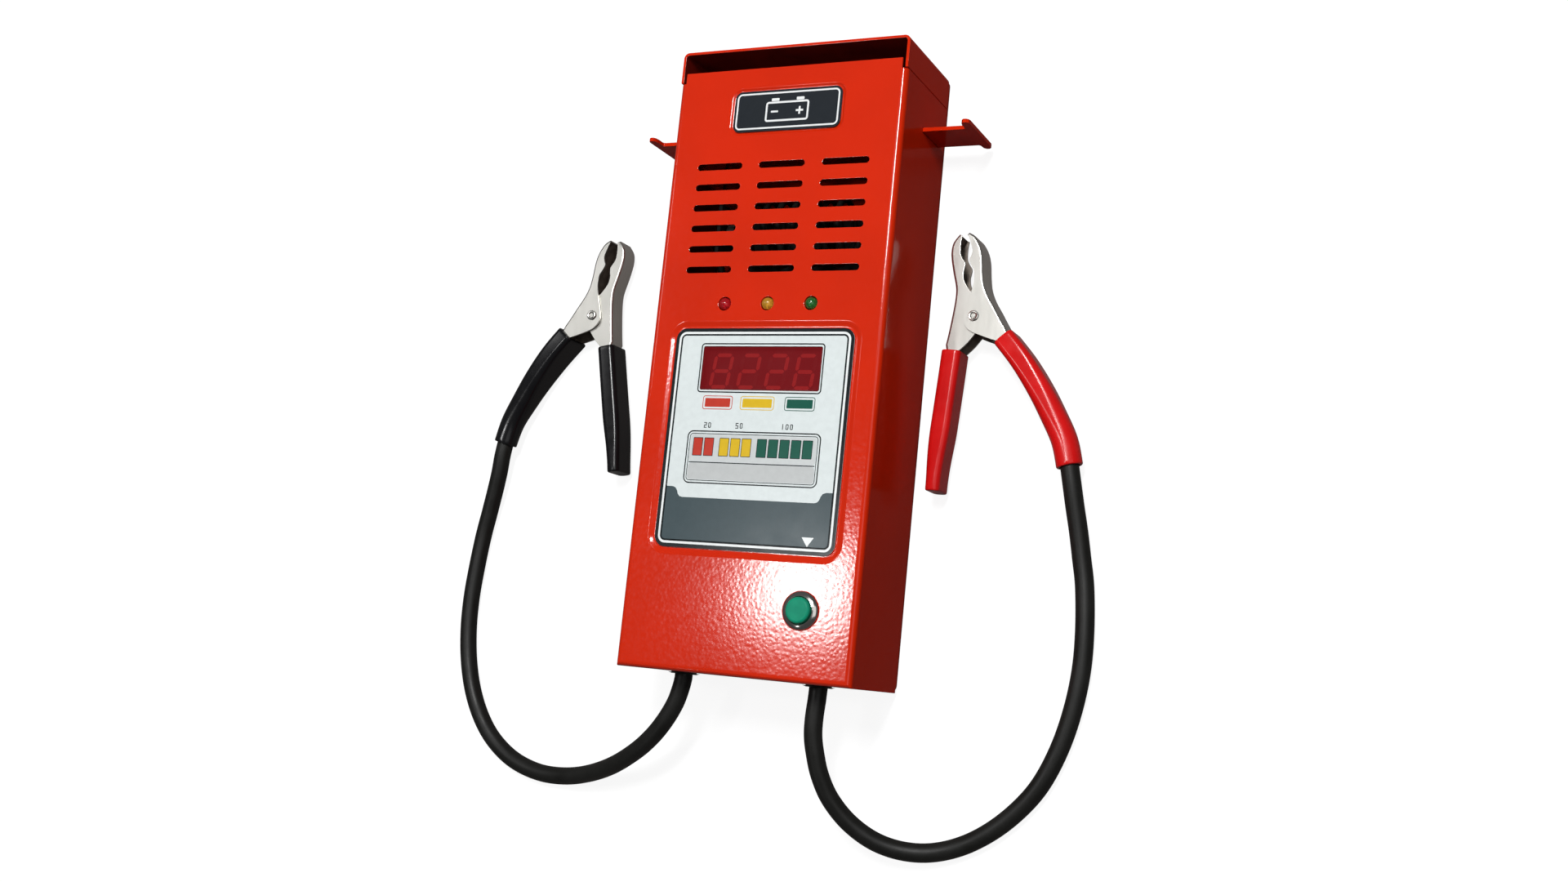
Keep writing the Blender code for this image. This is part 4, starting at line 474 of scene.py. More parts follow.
# Clamp rivets and springs.
# Each clamp turns on a hollow steel rivet with its ends rolled over. A torsion spring of plain
# wire is wound round it, and its two legs push the handles apart.
RIVET_SHANK = 0.0015
RIVET_HEAD = 0.0021
HEAD_LIFT = 0.00025
HEAD_HEIGHT = 0.00055
SPRING_WIRE = 0.00035
SPRING_GAP = 0.0003
SPRING_TURN = 0.0026
SPRING_COUNT = 3
SPRING_STEPS = 128
SPRING_ENDS = ((-0.0087, -0.0080), (0.0114, -0.0046))


def spun(name, profile, sides, made, place=(0, 0, 0), tilt=None):
    """A turned piece from (radius, height) pairs that run down its outer side."""
    mesh = bpy.data.meshes.new(name)
    count = len(profile)
    closed = profile[0][0] > 0 and profile[-1][0] > 0
    edges = [(index, index + 1) for index in range(count - 1)] + ([(count - 1, 0)] if closed else [])
    mesh.from_pydata([(radius, 0.0, height) for radius, height in profile], edges, [])
    piece = placed(name, mesh)
    screw = piece.modifiers.new("spin", "SCREW")
    screw.steps = sides
    screw.render_steps = sides
    screw.use_merge_vertices = True
    screw.merge_threshold = 0.000002
    settled(piece)
    work = bmesh.new()
    work.from_mesh(piece.data)
    bmesh.ops.remove_doubles(work, verts=work.verts, dist=0.000002)
    bmesh.ops.recalc_face_normals(work, faces=work.faces)
    work.to_mesh(piece.data)
    work.free()
    piece.data.materials.append(made)
    piece.data.transform(Matrix.Translation(place) @ (tilt or Matrix.Identity(4)))
    return piece


def wire_mesh(name, line, radius, sides, made):
    """The same wire as a mesh, for a spring."""
    curve = wire_curve(name + "_line", line, radius, sides, made)
    mesh = meshed(curve)
    bpy.data.objects.remove(curve, do_unlink=True)
    return placed(name, mesh)


rivet_steel = finish_of("rivet_steel", (0.66, 0.65, 0.61), 0.30, 1.0)
scuffed(rivet_steel, 0.22, 0.40, 700.0)
spring_wire = finish_of("spring_wire", (0.42, 0.41, 0.39), 0.38, 1.0)
scuffed(spring_wire, 0.30, 0.46, 900.0)
for side_name, (hand, rivet, _) in RIVETS.items():
    low = JAW_HALF + HEAD_LIFT
    high = low + HEAD_HEIGHT
    crest = RIVET_HEAD - 0.0004
    upper = [
        (0.0, low + 0.0001), (0.0009, low + 0.0001), (0.0011, low + 0.00035),
        (crest - 0.0004, high - 0.00005), (crest, high), (crest + 0.0003, high - 0.00015),
        (RIVET_HEAD, high - 0.00035), (RIVET_HEAD - 0.0001, low), (RIVET_SHANK, low),
    ]
    profile = upper + [(radius, -height) for radius, height in upper[::-1]]
    head = spun("rivet_" + side_name, profile, 40, rivet_steel, (*rivet, CLAMP_HEIGHT))
    fix(shade(head, 30.0), "tester", "clamp_nickel", "clamp_rivet_" + side_name)
    clamp_pieces[side_name].append(head)

    start, end = (Vector(point) for point in SPRING_ENDS)
    arrive = math.atan2(start.y, start.x) + math.acos(SPRING_TURN / start.length)
    leave = math.atan2(end.y, end.x) - math.acos(SPRING_TURN / end.length)
    sweep = (leave - arrive) % (2 * math.pi) + SPRING_COUNT * 2 * math.pi
    rise = 2 * (LEVER_HALF - SHEET_OF_CLAMP - SPRING_GAP - SPRING_WIRE)
    wound = [(*start, -rise / 2)]
    for step in range(SPRING_STEPS + 1):
        share = step / SPRING_STEPS
        angle = arrive + sweep * share
        wound.append((SPRING_TURN * math.cos(angle), SPRING_TURN * math.sin(angle), rise * (share - 0.5)))
    wound.append((*end, rise / 2))
    wound = [Vector((rivet[0] + hand * x, rivet[1] + y, CLAMP_HEIGHT + z)) for x, y, z in wound]
    winding = wire_mesh("winding_" + side_name, wound, SPRING_WIRE, 3, spring_wire)
    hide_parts("clamp_spring_" + side_name)
    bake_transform(winding)
    clamp_pieces[side_name].append(winding)


# Clamp sleeves.
# Thick glossy vinyl, dipped and slipped over the handles: black on the left, red on the right. The
# sleeve on the lead turns from flat to round and closes on the jacket; the other has a blunt end.
SLEEVE_TAIL = ((0.0334, -0.0378), (0.0384, -0.0475), (0.0411, -0.0573))
SLEEVE_SKIN = 0.0017
SLEEVE_GAP = 0.0003
SLEEVE_CORNER = 0.0024
HOLE_CORNER = 0.0004
ROUND_END = 0.0051
ROUND_HOLE = 0.0041
SLEEVE_STEPS = 36
GRIP_STEPS = 30
MOUTH_RIM = ((0.0, 0.0006), (0.00012, 0.00022), (0.0005, 0.0))
END_RIM = ((0.0, 0.0006), (0.00012, 0.0002), (0.0005, 0.0))
BLUNT_RIM = ((0.0, 0.0009), (0.0001, 0.0004), (0.00035, 0.00012))


def oblong(half_width, half_height, corner, steps=6):
    """Outline of a rounded section."""
    points = []
    for sign_u, sign_v, begin in ((1, 1, 0), (-1, 1, 90), (-1, -1, 180), (1, -1, 270)):
        for step in range(steps + 1):
            angle = math.radians(begin + 90 * step / steps)
            points.append((
                sign_u * (half_width - corner) + corner * math.cos(angle),
                sign_v * (half_height - corner) + corner * math.sin(angle),
            ))
    return points


def eased_share(share):
    """A share between 0 and 1 that starts and ends gently."""
    share = min(1.0, max(0.0, share))
    return share * share * (3 - 2 * share)


def between(first, second, share):
    """A section part of the way from one to another."""
    share = eased_share(share)
    return tuple(start + (end - start) * share for start, end in zip(first, second))


def skin_between(work, first, second):
    """Faces between two rings of points."""
    for number in range(len(first)):
        other = (number + 1) % len(first)
        work.faces.new((first[number], first[other], second[other], second[number]))


def drawn_along(name, stations, made, closed):
    """A skin through sections set square to a flat line; closed on itself, or capped at its ends."""
    work = bmesh.new()
    rings = []
    for point, along, section in stations:
        rings.append([])
        for side, up in oblong(*section):
            rings[-1].append(work.verts.new((point.x - along.y * side, point.y + along.x * side, up)))
    for first, second in zip(rings, rings[1:] + rings[:1] if closed else rings[1:]):
        skin_between(work, first, second)
    if not closed:
        work.faces.new(rings[0])
        work.faces.new(rings[-1])
    bmesh.ops.remove_doubles(work, verts=work.verts, dist=0.000001)
    bmesh.ops.recalc_face_normals(work, faces=work.faces)
    return from_work(name, work, made)


def line_length(line):
    """The length along a line."""
    return sum((end - start).length for start, end in zip(line, line[1:]))


def walked(line, share):
    """The place and direction at a share of a line's length."""
    target = line_length(line) * share
    for start, end in zip(line, line[1:]):
        step = (end - start).length
        if target <= step:
            return start.lerp(end, target / step), (end - start).normalized()
        target -= step
    return line[-1].copy(), (line[-1] - line[-2]).normalized()


def shrunk(section, amount):
    """A section drawn in on all sides."""
    return (section[0] - amount, section[1] - amount, max(section[2] - amount, 0.0002))


def rounded_rim(place, along, section, way, steps):
    """The rounded edge of a sleeve, from its face: (distance from the face, how far drawn in) pairs."""
    return [(place + along * way * depth, along, shrunk(section, amount)) for depth, amount in steps]


vinyl = {}
for side_name, (deep, light) in {
    "left": ((0.005, 0.005, 0.006), (0.008, 0.008, 0.009)),
    "right": ((0.62, 0.007, 0.007), (0.70, 0.010, 0.010)),
}.items():
    vinyl[side_name] = finish_of("vinyl_" + side_name, deep, 0.20, Specular_IOR_Level=0.30)
    clouded(vinyl[side_name], deep, light, 60.0)
    scuffed(vinyl[side_name], 0.17, 0.23, 260.0)
    grained(vinyl[side_name], 140.0, 0.00003, 0.15)
vinyl_slots = {"left": "black_vinyl", "right": "red_vinyl"}
for side_name, (hand, rivet, _) in RIVETS.items():
    line = through([Vector((hand * x, y)) for x, y in HANDLE_LINE + SLEEVE_TAIL], 10)
    flat = (HANDLE_HALF + SLEEVE_SKIN, JAW_HALF + SLEEVE_SKIN, SLEEVE_CORNER)
    round_end = (ROUND_END, ROUND_END, ROUND_END)
    flat_hole = (HANDLE_HALF + SLEEVE_GAP, JAW_HALF + SLEEVE_GAP, HOLE_CORNER)
    round_hole = (ROUND_HOLE, ROUND_HOLE, ROUND_HOLE)
    outer, inner = [], []
    for step in range(SLEEVE_STEPS + 1):
        share = step / SLEEVE_STEPS
        place, along = walked(line, share)
        outer.append((place, along, between(flat, round_end, (share - 0.05) / 0.95)))
        inner.append((place, along, between(flat_hole, round_hole, (share - 0.44) / 0.2)))
    stations = rounded_rim(*outer[0], 1, MOUTH_RIM) + outer[1:-1]
    stations += rounded_rim(*outer[-1], -1, END_RIM)[::-1] + inner[::-1]
    sleeve = drawn_along("sleeve_" + side_name, stations, vinyl[side_name], True)
    sleeve.data.transform(Matrix.Translation((*rivet, CLAMP_HEIGHT)))
    fix(shade(sleeve, 50.0), "tester", vinyl_slots[side_name], "clamp_sleeve_" + side_name)
    clamp_pieces[side_name].append(sleeve)

    line = through(lever_lines[side_name], 10)
    flat = (LEVER_HANDLE_HALF + SLEEVE_SKIN, LEVER_HALF + SLEEVE_SKIN, SLEEVE_CORNER)
    blunt = (0.00295, LEVER_HALF + SLEEVE_SKIN, 0.0025)
    hole = (LEVER_HANDLE_HALF + SLEEVE_GAP, LEVER_HALF + SLEEVE_GAP, HOLE_CORNER)
    stations = []
    for step in range(15, -1, -1):
        place, along = walked(line, 0.53 * step / 15)
        stations.append((place, along, hole))
    stations += rounded_rim(*walked(line, 0.0), flat, 1, MOUTH_RIM)
    for step in range(1, GRIP_STEPS + 1):
        share = step / GRIP_STEPS
        place, along = walked(line, 0.985 * share)
        stations.append((place, along, between(flat, blunt, (share - 0.55) / 0.45)))
    stations += rounded_rim(*walked(line, 1.0), blunt, -1, BLUNT_RIM)[::-1]
    grip = drawn_along("grip_" + side_name, stations, vinyl[side_name], False)
    grip.data.transform(Matrix.Translation((*rivet, CLAMP_HEIGHT)))
    fix(shade(grip, 50.0), side_name + "_lever", vinyl_slots[side_name], "lever_sleeve_" + side_name)
    clamp_pieces[side_name].append(grip)


# Folded case.
# One sheet of steel folded to the front panel, the side walls and the lower end, punched for what goes
# through it, pressed in where the label and the badge sit, and powder coated. The inside has a dull coat
# coloured dark red, as painted shade.
CASE_HALF = 0.050
CASE_LOW = -0.126
CASE_SIDE_TOP = 0.1125
PANEL_TOP = 0.1168
CASE_REAR = 0.0023
PANEL_FACE = 0.0484
CASE_SHEET = 0.0012
CASE_BEND = 0.0024
BEND_STEPS = 8
VENT_SIZE = (0.020, 0.0026)
VENT_PITCH = 0.00857
VENT_ROWS = 6
VENT_TOP_ROW = 0.0760
VENT_COLUMN = 0.02755
LAMP_Y = 0.0191
LAMP_SPACING = 0.01875
LAMP_HOLE = 0.0028
WINDOW_MIDDLE = (0.0, -0.0069)
WINDOW_SIZE = (0.0513, 0.0172)
LABEL_MIDDLE = (0.0, -0.0346)
LABEL_SIZE = (0.0772, 0.0874)
LABEL_CORNER = 0.0045
BADGE_MIDDLE = (0.0, 0.0985)
BADGE_SIZE = (0.047, 0.017)
BADGE_CORNER = 0.003
RECESS_GAP = 0.0003
BUTTON_PLACE = (0.0273, -0.0992)
BUTTON_HOLE = 0.0070
LEAD_HOLE = 0.0054
PUNCH_REACH = 0.004
STOOD_UP = Matrix.Rotation(math.pi / 2, 4, "X")
BROKEN_EDGE = 0.00022


def combined(piece, other, operation):
    """Work one shape into another and drop it."""
    boolean = piece.modifiers.new("combine", "BOOLEAN")
    boolean.object = other
    boolean.operation = operation
    settled(piece)
    bpy.data.objects.remove(other, do_unlink=True)
    return piece


def cut_with(piece, cutter):
    """Take one shape out of another and drop the cutter."""
    return combined(piece, cutter, "DIFFERENCE")


def vertices_of(found):
    """The points among what an operation made."""
    return [item for item in found["geom"] if isinstance(item, bmesh.types.BMVert)]


def slab(name, outline, low, high, made=None):
    """A flat outline drawn up between two heights."""
    work = bmesh.new()
    face = work.faces.new([work.verts.new((x, y, low)) for x, y in outline])
    for vertex in vertices_of(bmesh.ops.extrude_face_region(work, geom=[face])):
        vertex.co.z = high
    bmesh.ops.recalc_face_normals(work, faces=work.faces)
    return from_work(name, work, made)


def looks(face):
    """The side that a face of an upright block turns to, such as +X."""
    axis = max(range(3), key=lambda index: abs(face.normal[index]))
    return ("+" if face.normal[axis] > 0 else "-") + "XYZ"[axis]


def folded(low, high, open_sides, bends, radius, steps):
    """An open sheet-metal box with round bends, as a surface."""
    low, high = Vector(low), Vector(high)
    work = bmesh.new()
    stretch = Matrix.Translation((low + high) / 2) @ Matrix.Diagonal((*(high - low), 1.0))
    bmesh.ops.create_cube(work, size=1.0, matrix=stretch)
    work.normal_update()
    wanted = [frozenset(pair) for pair in bends]
    edges = [edge for edge in work.edges if frozenset(looks(face) for face in edge.link_faces) in wanted]
    bmesh.ops.delete(work, geom=[face for face in work.faces if looks(face) in open_sides], context="FACES")
    bmesh.ops.bevel(
        work, geom=edges, offset=radius, offset_type="OFFSET", segments=steps, profile=0.5, affect="EDGES"
    )
    return work


def thickened(piece, thickness, shaded_inside_made):
    """Give a surface its sheet thickness, with another finish, a painted shade, on the faces turned inwards.
    """
    piece.data.materials.append(shaded_inside_made)
    solidify = piece.modifiers.new("sheet", "SOLIDIFY")
    solidify.material_offset = 1
    solidify.thickness = thickness
    solidify.offset = -1.0
    solidify.use_even_offset = True
    return settled(piece)


def round_rect(width, height, corner, middle=(0.0, 0.0), steps=8):
    """Outline of a rounded rectangle."""
    return [(x + middle[0], y + middle[1]) for x, y in oblong(width / 2, height / 2, corner, steps)]


def grown(size, amount, corner, middle):
    """Outline of a rounded rectangle that is wider and taller by an amount."""
    return round_rect(size[0] + amount, size[1] + amount, corner, middle)


def press_tool(name, size, corner, middle, depth, slope):
    """A punch with soft shoulders: a little wider than the plate at its floor, level at its rim."""
    work = bmesh.new()
    rings = []
    heights = [(step / 8, PANEL_FACE - depth * (1 - eased_share(step / 8))) for step in range(9)]
    heights[-1] = (1.0, PANEL_FACE + 0.00002)
    for share, height in heights + [(1.0, PANEL_FACE + 0.00202)]:
        spread = RECESS_GAP + slope * share
        outline = grown(size, 2 * spread, corner + spread, middle)
        rings.append([work.verts.new((x, y, height)) for x, y in outline])
    for first, second in zip(rings, rings[1:]):
        skin_between(work, first, second)
    work.faces.new(rings[0])
    work.faces.new(rings[-1])
    bmesh.ops.recalc_face_normals(work, faces=work.faces)
    return from_work(name, work)


def repeated(name, places, piece, made):
    """Copies of one shape at points, made by a node tree and baked to a plain mesh."""
    tree = bpy.data.node_groups.new(name + "_tree", "GeometryNodeTree")
    kinds = {"Places": "Geometry", "Shape": "Object", "Finish": "Material", "Size": "Float"}
    for label, kind in kinds.items():
        tree.interface.new_socket(label, in_out="INPUT", socket_type="NodeSocket" + kind)
    tree.interface.new_socket("Copies", in_out="OUTPUT", socket_type="NodeSocketGeometry")
    entry = tree.nodes.new("NodeGroupInput").outputs
    shape = feed(tree.nodes.new("GeometryNodeObjectInfo"), {"Object": entry["Shape"]})
    put = feed(tree.nodes.new("GeometryNodeInstanceOnPoints"), {
        "Points": entry["Places"], "Instance": shape.outputs["Geometry"], "Scale": entry["Size"],
    })
    real = feed(tree.nodes.new("GeometryNodeRealizeInstances"), {"Geometry": put.outputs["Instances"]})
    paint = feed(tree.nodes.new("GeometryNodeSetMaterial"), {
        "Geometry": real.outputs["Geometry"], "Material": entry["Finish"],
    })
    feed(tree.nodes.new("NodeGroupOutput"), {"Copies": paint.outputs["Geometry"]})
    mesh = bpy.data.meshes.new(name)
    mesh.from_pydata(places, [], [])
    holder = placed(name, mesh)
    modifier = holder.modifiers.new("copies", "NODES")
    modifier.node_group = tree
    values = {"Shape": piece, "Finish": made, "Size": 1.0}
    for item in tree.interface.items_tree:
        if item.in_out == "INPUT" and item.name in values:
            modifier[item.identifier] = values[item.name]
    settled(holder)
    bpy.data.objects.remove(piece, do_unlink=True)
    return holder


def joined(name, pieces):
    """Several shapes as one cutter."""
    work = bmesh.new()
    for piece in pieces:
        work.from_mesh(piece.data)
        bpy.data.objects.remove(piece, do_unlink=True)
    return from_work(name, work)


def disc(radius, middle, steps=40):
    """Outline of a circle."""
    angles = [2 * math.pi * step / steps for step in range(steps)]
    return [(middle[0] + radius * math.cos(angle), middle[1] + radius * math.sin(angle)) for angle in angles]


def panel_punch(outline):
    """A cutter that goes right through the front panel."""
    return slab("punch", outline, PANEL_FACE - PUNCH_REACH, PANEL_FACE + PUNCH_REACH / 2)


def clouded_about(made, tone, darkest, lightest, scale):
    """Colour that drifts a little to both sides of one tone."""
    clouded(made, [channel * darkest for channel in tone], [channel * lightest for channel in tone], scale)


def coated(name, tone):
    """Powder coat with a fine orange-peel relief, full and glossy in front, thin and dull at the sides."""
    made = finish_of(name, tone, 0.12, Specular_IOR_Level=0.5)
    clouded_about(made, tone, 0.94, 1.04, 22.0)
    scuffed(made, 0.10, 0.14, 500.0)
    tree = made.node_tree
    place = added(tree, "TexCoord").outputs["Object"]
    pebbles = added(tree, "TexVoronoi", {
        "Vector": place, "Scale": 720.0, "Smoothness": 0.6,
    }, feature="SMOOTH_F1")
    relief = added(tree, "Bump", {
        "Height": pebbles.outputs["Distance"], "Strength": 0.30, "Distance": 0.00006,
    }, invert=True)
    from_middle = worked_out(tree, "ABSOLUTE", added(tree, "SeparateXYZ", (place,)).outputs["X"])
    gloss = added(tree, "MapRange", {
        "Value": from_middle, "From Min": CASE_HALF - 0.0014, "From Max": CASE_HALF - 0.0004,
        "To Min": 0.5, "To Max": 0.03,
    })
    feed(surface(made), {"Normal": relief.outputs["Normal"], "Specular IOR Level": gloss.outputs["Result"]})
    return made


red_coat = coated("red_coat", (0.64, 0.022, 0.003))
# Dark red for the inward faces of the case and the lid, as painted shade.
thin_coat = finish_of("thin_coat", (0.16, 0.006, 0.002), 0.55, Specular_IOR_Level=0.1)
clouded(thin_coat, (0.11, 0.004, 0.002), (0.20, 0.008, 0.002), 40.0)
case_work = folded(
    (-CASE_HALF, CASE_LOW, CASE_REAR), (CASE_HALF, CASE_SIDE_TOP, PANEL_FACE), ("+Y", "-Z"),
    (("+Z", "-X"), ("+Z", "+X"), ("+Z", "-Y")), CASE_BEND, BEND_STEPS,
)
top_rim = [
    edge for edge in case_work.edges
    if all(abs(end.co.y - CASE_SIDE_TOP) < 1e-6 and abs(end.co.z - PANEL_FACE) < 1e-6 for end in edge.verts)
]
for vertex in vertices_of(bmesh.ops.extrude_edge_only(case_work, edges=top_rim)):
    vertex.co.y = PANEL_TOP
bmesh.ops.recalc_face_normals(case_work, faces=case_work.faces)
# The faces turned inwards take the dark inner coat: painted shade inside the case.
case = thickened(from_work("case", case_work, red_coat), CASE_SHEET, thin_coat)
cut_with(case, press_tool("label_press", LABEL_SIZE, LABEL_CORNER, LABEL_MIDDLE, 0.0008, 0.0030))
cut_with(case, press_tool("badge_press", BADGE_SIZE, BADGE_CORNER, BADGE_MIDDLE, 0.0006, 0.0014))
vent_places = [
    ((column - 1) * VENT_COLUMN, VENT_TOP_ROW - row * VENT_PITCH, 0.0)
    for row in range(VENT_ROWS) for column in range(3)
]
vent_slot = panel_punch(round_rect(*VENT_SIZE, VENT_SIZE[1] / 2))
punches = [repeated("vents", vent_places, vent_slot, red_coat)]
punches += [panel_punch(disc(LAMP_HOLE, (x, LAMP_Y))) for x in (-LAMP_SPACING, 0.0, LAMP_SPACING)]
punches.append(panel_punch(grown(WINDOW_SIZE, 0.0006, 0.0009, WINDOW_MIDDLE)))
punches.append(panel_punch(disc(BUTTON_HOLE, BUTTON_PLACE)))
for side_name, side in (("left", -1), ("right", 1)):
    exit_x, _, exit_z = LEAD_ROUTES[side_name][0]
    lead_punch = slab("lead_punch", disc(LEAD_HOLE, (exit_x, 0.0)), -PUNCH_REACH, PUNCH_REACH)
    lead_punch.data.transform(Matrix.Translation((0, CASE_LOW, exit_z)) @ STOOD_UP)
    punches.append(lead_punch)
    slot_outline = [(0.046, 0.0939), (0.054, 0.0939), (0.054, 0.0960), (0.046, 0.0960)]
    punches.append(slab("holder_punch", [(side * x, y) for x, y in slot_outline], 0.0079, 0.0274))
cut_with(case, joined("punches", punches))
eased(case, BROKEN_EDGE, 2, 50.0)
fix(shade(case, 32.0), "tester", "red_powder_coat", "front_case")


# Lid.
# A shallow folded cap across the top end. Its sides and back carry on the case's walls, and it is
# left open towards the front, where the warm air leaves over the panel's upper edge.
LID_LOW = 0.1128
LID_TOP = 0.126
lid_work = folded(
    (-CASE_HALF, LID_LOW, CASE_REAR), (CASE_HALF, LID_TOP, PANEL_FACE), ("-Y", "+Z"),
    (("+Y", "-X"), ("+Y", "+X"), ("+Y", "-Z")), CASE_BEND, BEND_STEPS,
)
# The lid's inward faces take the dark inner coat: painted shade in its hollow.
lid = thickened(from_work("lid", lid_work, red_coat), CASE_SHEET, thin_coat)
eased(lid, BROKEN_EDGE, 2, 50.0)
fix(shade(lid, 32.0), "tester", "red_powder_coat", "top_cap")


# Clamp holders.
# Bent steel tabs that come out through a slot in each side wall, for the clamps to be clipped on. The
# flat end is stamped to a T with round ears, and the tab is coated like the case.
HOLDER_SHEET = 0.0015
HOLDER_PLACE = 0.09495


def welded_to(piece, other):
    """Make one shape of two and drop the second."""
    return combined(piece, other, "UNION")


for side_name, side in (("left", -1), ("right", 1)):
    ear = [(0.0679, 0.0313), (0.0682, 0.0331), (0.0691, 0.0342), (0.0703, 0.0342), (0.0712, 0.0334)]
    ear.append((0.0715, 0.0320))
    low_ear = [(x, 0.0378 - z) for x, z in ear[::-1]]
    stamped = [(0.0500, 0.0271), (0.0670, 0.0271), (0.0676, 0.0274), (0.0679, 0.0280)] + ear
    stamped += low_ear + [(0.0679, 0.0073), (0.0676, 0.0079), (0.0670, 0.0082), (0.0500, 0.0082)]
    stamped = [(side * x, z) for x, z in stamped]
    holder = slab("holder_" + side_name, stamped, -HOLDER_SHEET / 2, HOLDER_SHEET / 2, red_coat)
    holder.data.transform(Matrix.Translation((0, HOLDER_PLACE, 0)) @ STOOD_UP)
    bend = through(((0.0478, 0.0780), (0.0478, 0.0900), (0.0478, 0.0934)), 2)
    bend += through(((0.0479, 0.0940), (0.0484, 0.0947), (0.0492, HOLDER_PLACE), (0.0504, HOLDER_PLACE)), 4)
    upper, lower = beside(bend, 0.00074), beside(bend, -0.00074)
    foot = [(side * point.x, point.y) for point in upper + lower[::-1]]
    welded_to(holder, slab("foot_" + side_name, foot, 0.0085, 0.0268))
    eased(holder, 0.00030, 3, 50.0)
    fix(shade(holder, 32.0), "tester", "red_powder_coat", "clamp_holder_" + side_name)


# Face label and badge.
# Thin printed films in the pressed recesses. The label is pale with a dark frame, whose outer line is
# widened as painted shade at the recess edge, a dark band at its foot and a scale of coloured cells with
# plain numbers; the dark badge shows a battery sign.
LABEL_FACE = PANEL_FACE - 0.0001
BADGE_FACE = PANEL_FACE + 0.0002
PRINT = 0.00002


def film(name, outlines, low, high, made):
    """A flat film with holes, from closed outlines."""
    curve = bpy.data.curves.new(name, "CURVE")
    curve.dimensions = "2D"
    curve.fill_mode = "BOTH"
    curve.extrude = (high - low) / 2
    for outline in outlines:
        spline = curve.splines.new("POLY")
        spline.points.add(len(outline) - 1)
        for point, place in zip(spline.points, outline):
            point.co = (place[0], place[1], 0.0, 1.0)
        spline.use_cyclic_u = True
    drawing = placed(name, curve)
    mesh = meshed(drawing)
    bpy.data.objects.remove(drawing, do_unlink=True)
    mesh.transform(Matrix.Translation((0, 0, (low + high) / 2)))
    work = bmesh.new()
    work.from_mesh(mesh)
    bmesh.ops.remove_doubles(work, verts=work.verts, dist=0.0000005)
    bmesh.ops.recalc_face_normals(work, faces=work.faces)
    return from_work(name, work, made)


def frame_line(size, corner, middle, inset, width):
    """A printed line of the given width inside a rounded frame."""
    outer = grown(size, -2 * inset, max(corner - inset, 0.0003), middle)
    inset += width
    return [outer, grown(size, -2 * inset, max(corner - inset, 0.0002), middle)]


def cell(left, right, low, high, corner=0.0003):
    """A printed cell between heights counted from the case's lower edge."""
    middle = ((left + right) / 2, (low + high) / 2 + CASE_LOW)
    return round_rect(right - left, high - low, corner, middle, 3)


def ink(name, tone):
    """Printing ink with a slight sheen."""
    made = finish_of(name, tone, 0.22, Specular_IOR_Level=0.15)
    clouded_about(made, tone, 0.97, 1.02, 400.0)
    scuffed(made, 0.20, 0.24, 160.0)
    return made


inks = {tone_name: ink("label_" + tone_name, tone) for tone_name, tone in {
    "pale": (0.72, 0.78, 0.78), "white": (0.84, 0.87, 0.87), "grey": (0.60, 0.63, 0.63),
    "mist": (0.53, 0.55, 0.55), "dark": (0.012, 0.016, 0.018), "slate": (0.058, 0.084, 0.094),
    "red": (0.52, 0.045, 0.028), "yellow": (0.70, 0.46, 0.020), "green": (0.012, 0.100, 0.068),
}.items()}

label_outline = round_rect(*LABEL_SIZE, LABEL_CORNER, LABEL_MIDDLE)
window_gap = grown(WINDOW_SIZE, 0.0004, 0.0008, WINDOW_MIDDLE)
label_film = film("label_film", [label_outline, window_gap], LABEL_FACE - 0.0004, LABEL_FACE, inks["pale"])
fix(label_film, "tester", "label_film", "face_label")


def print_on_label(name, outlines, ink_name, level=1):
    """One colour of the print, in the first or the second layer of ink."""
    low = LABEL_FACE + PRINT * (level - 1)
    fix(film(name, outlines, low, low + PRINT, inks[ink_name]), "tester", "label_film")


def plain_number(body, middle, height):
    """Outlines of a plain number, drawn with a thin stroke."""
    shapes = {
        "0": ("ring",), "1": ("right",), "2": ("top", "upper_right", "mid", "lower_left", "foot"),
        "5": ("top", "upper_left", "mid", "lower_right", "foot"),
    }
    wide, line = height * 0.55, height * 0.15
    across = wide - line
    down = (height - line) / 2
    bars = {
        "top": (0.0, down, wide, line), "mid": (0.0, 0.0, wide, line), "foot": (0.0, -down, wide, line),
        "upper_left": (-across / 2, down / 2, line, down - line),
        "upper_right": (across / 2, down / 2, line, down - line),
        "lower_left": (-across / 2, -down / 2, line, down - line),
        "lower_right": (across / 2, -down / 2, line, down - line),
        "right": (0.0, 0.0, line, height),
    }
    outlines = []
    for index, digit in enumerate(body):
        place = Vector(middle) + Vector(((index - (len(body) - 1) / 2) * height * 0.85, 0.0))
        for bar in shapes[digit]:
            if bar == "ring":
                outlines += frame_line((wide, height), wide * 0.4, place, 0.0, line)
                continue
            x, y, width, tall = bars[bar]
            outlines.append(round_rect(width, tall, line * 0.1, (place.x + x, place.y + y), 1))
    return outlines


scale_frame, scale_corner = (0.0576, 0.0210), 0.0025
scale_middle = (0.0, 0.0835 + CASE_LOW)
window_frame = (0.0536, 0.0199)
window_frame_middle = (0.0, 0.11915 + CASE_LOW)
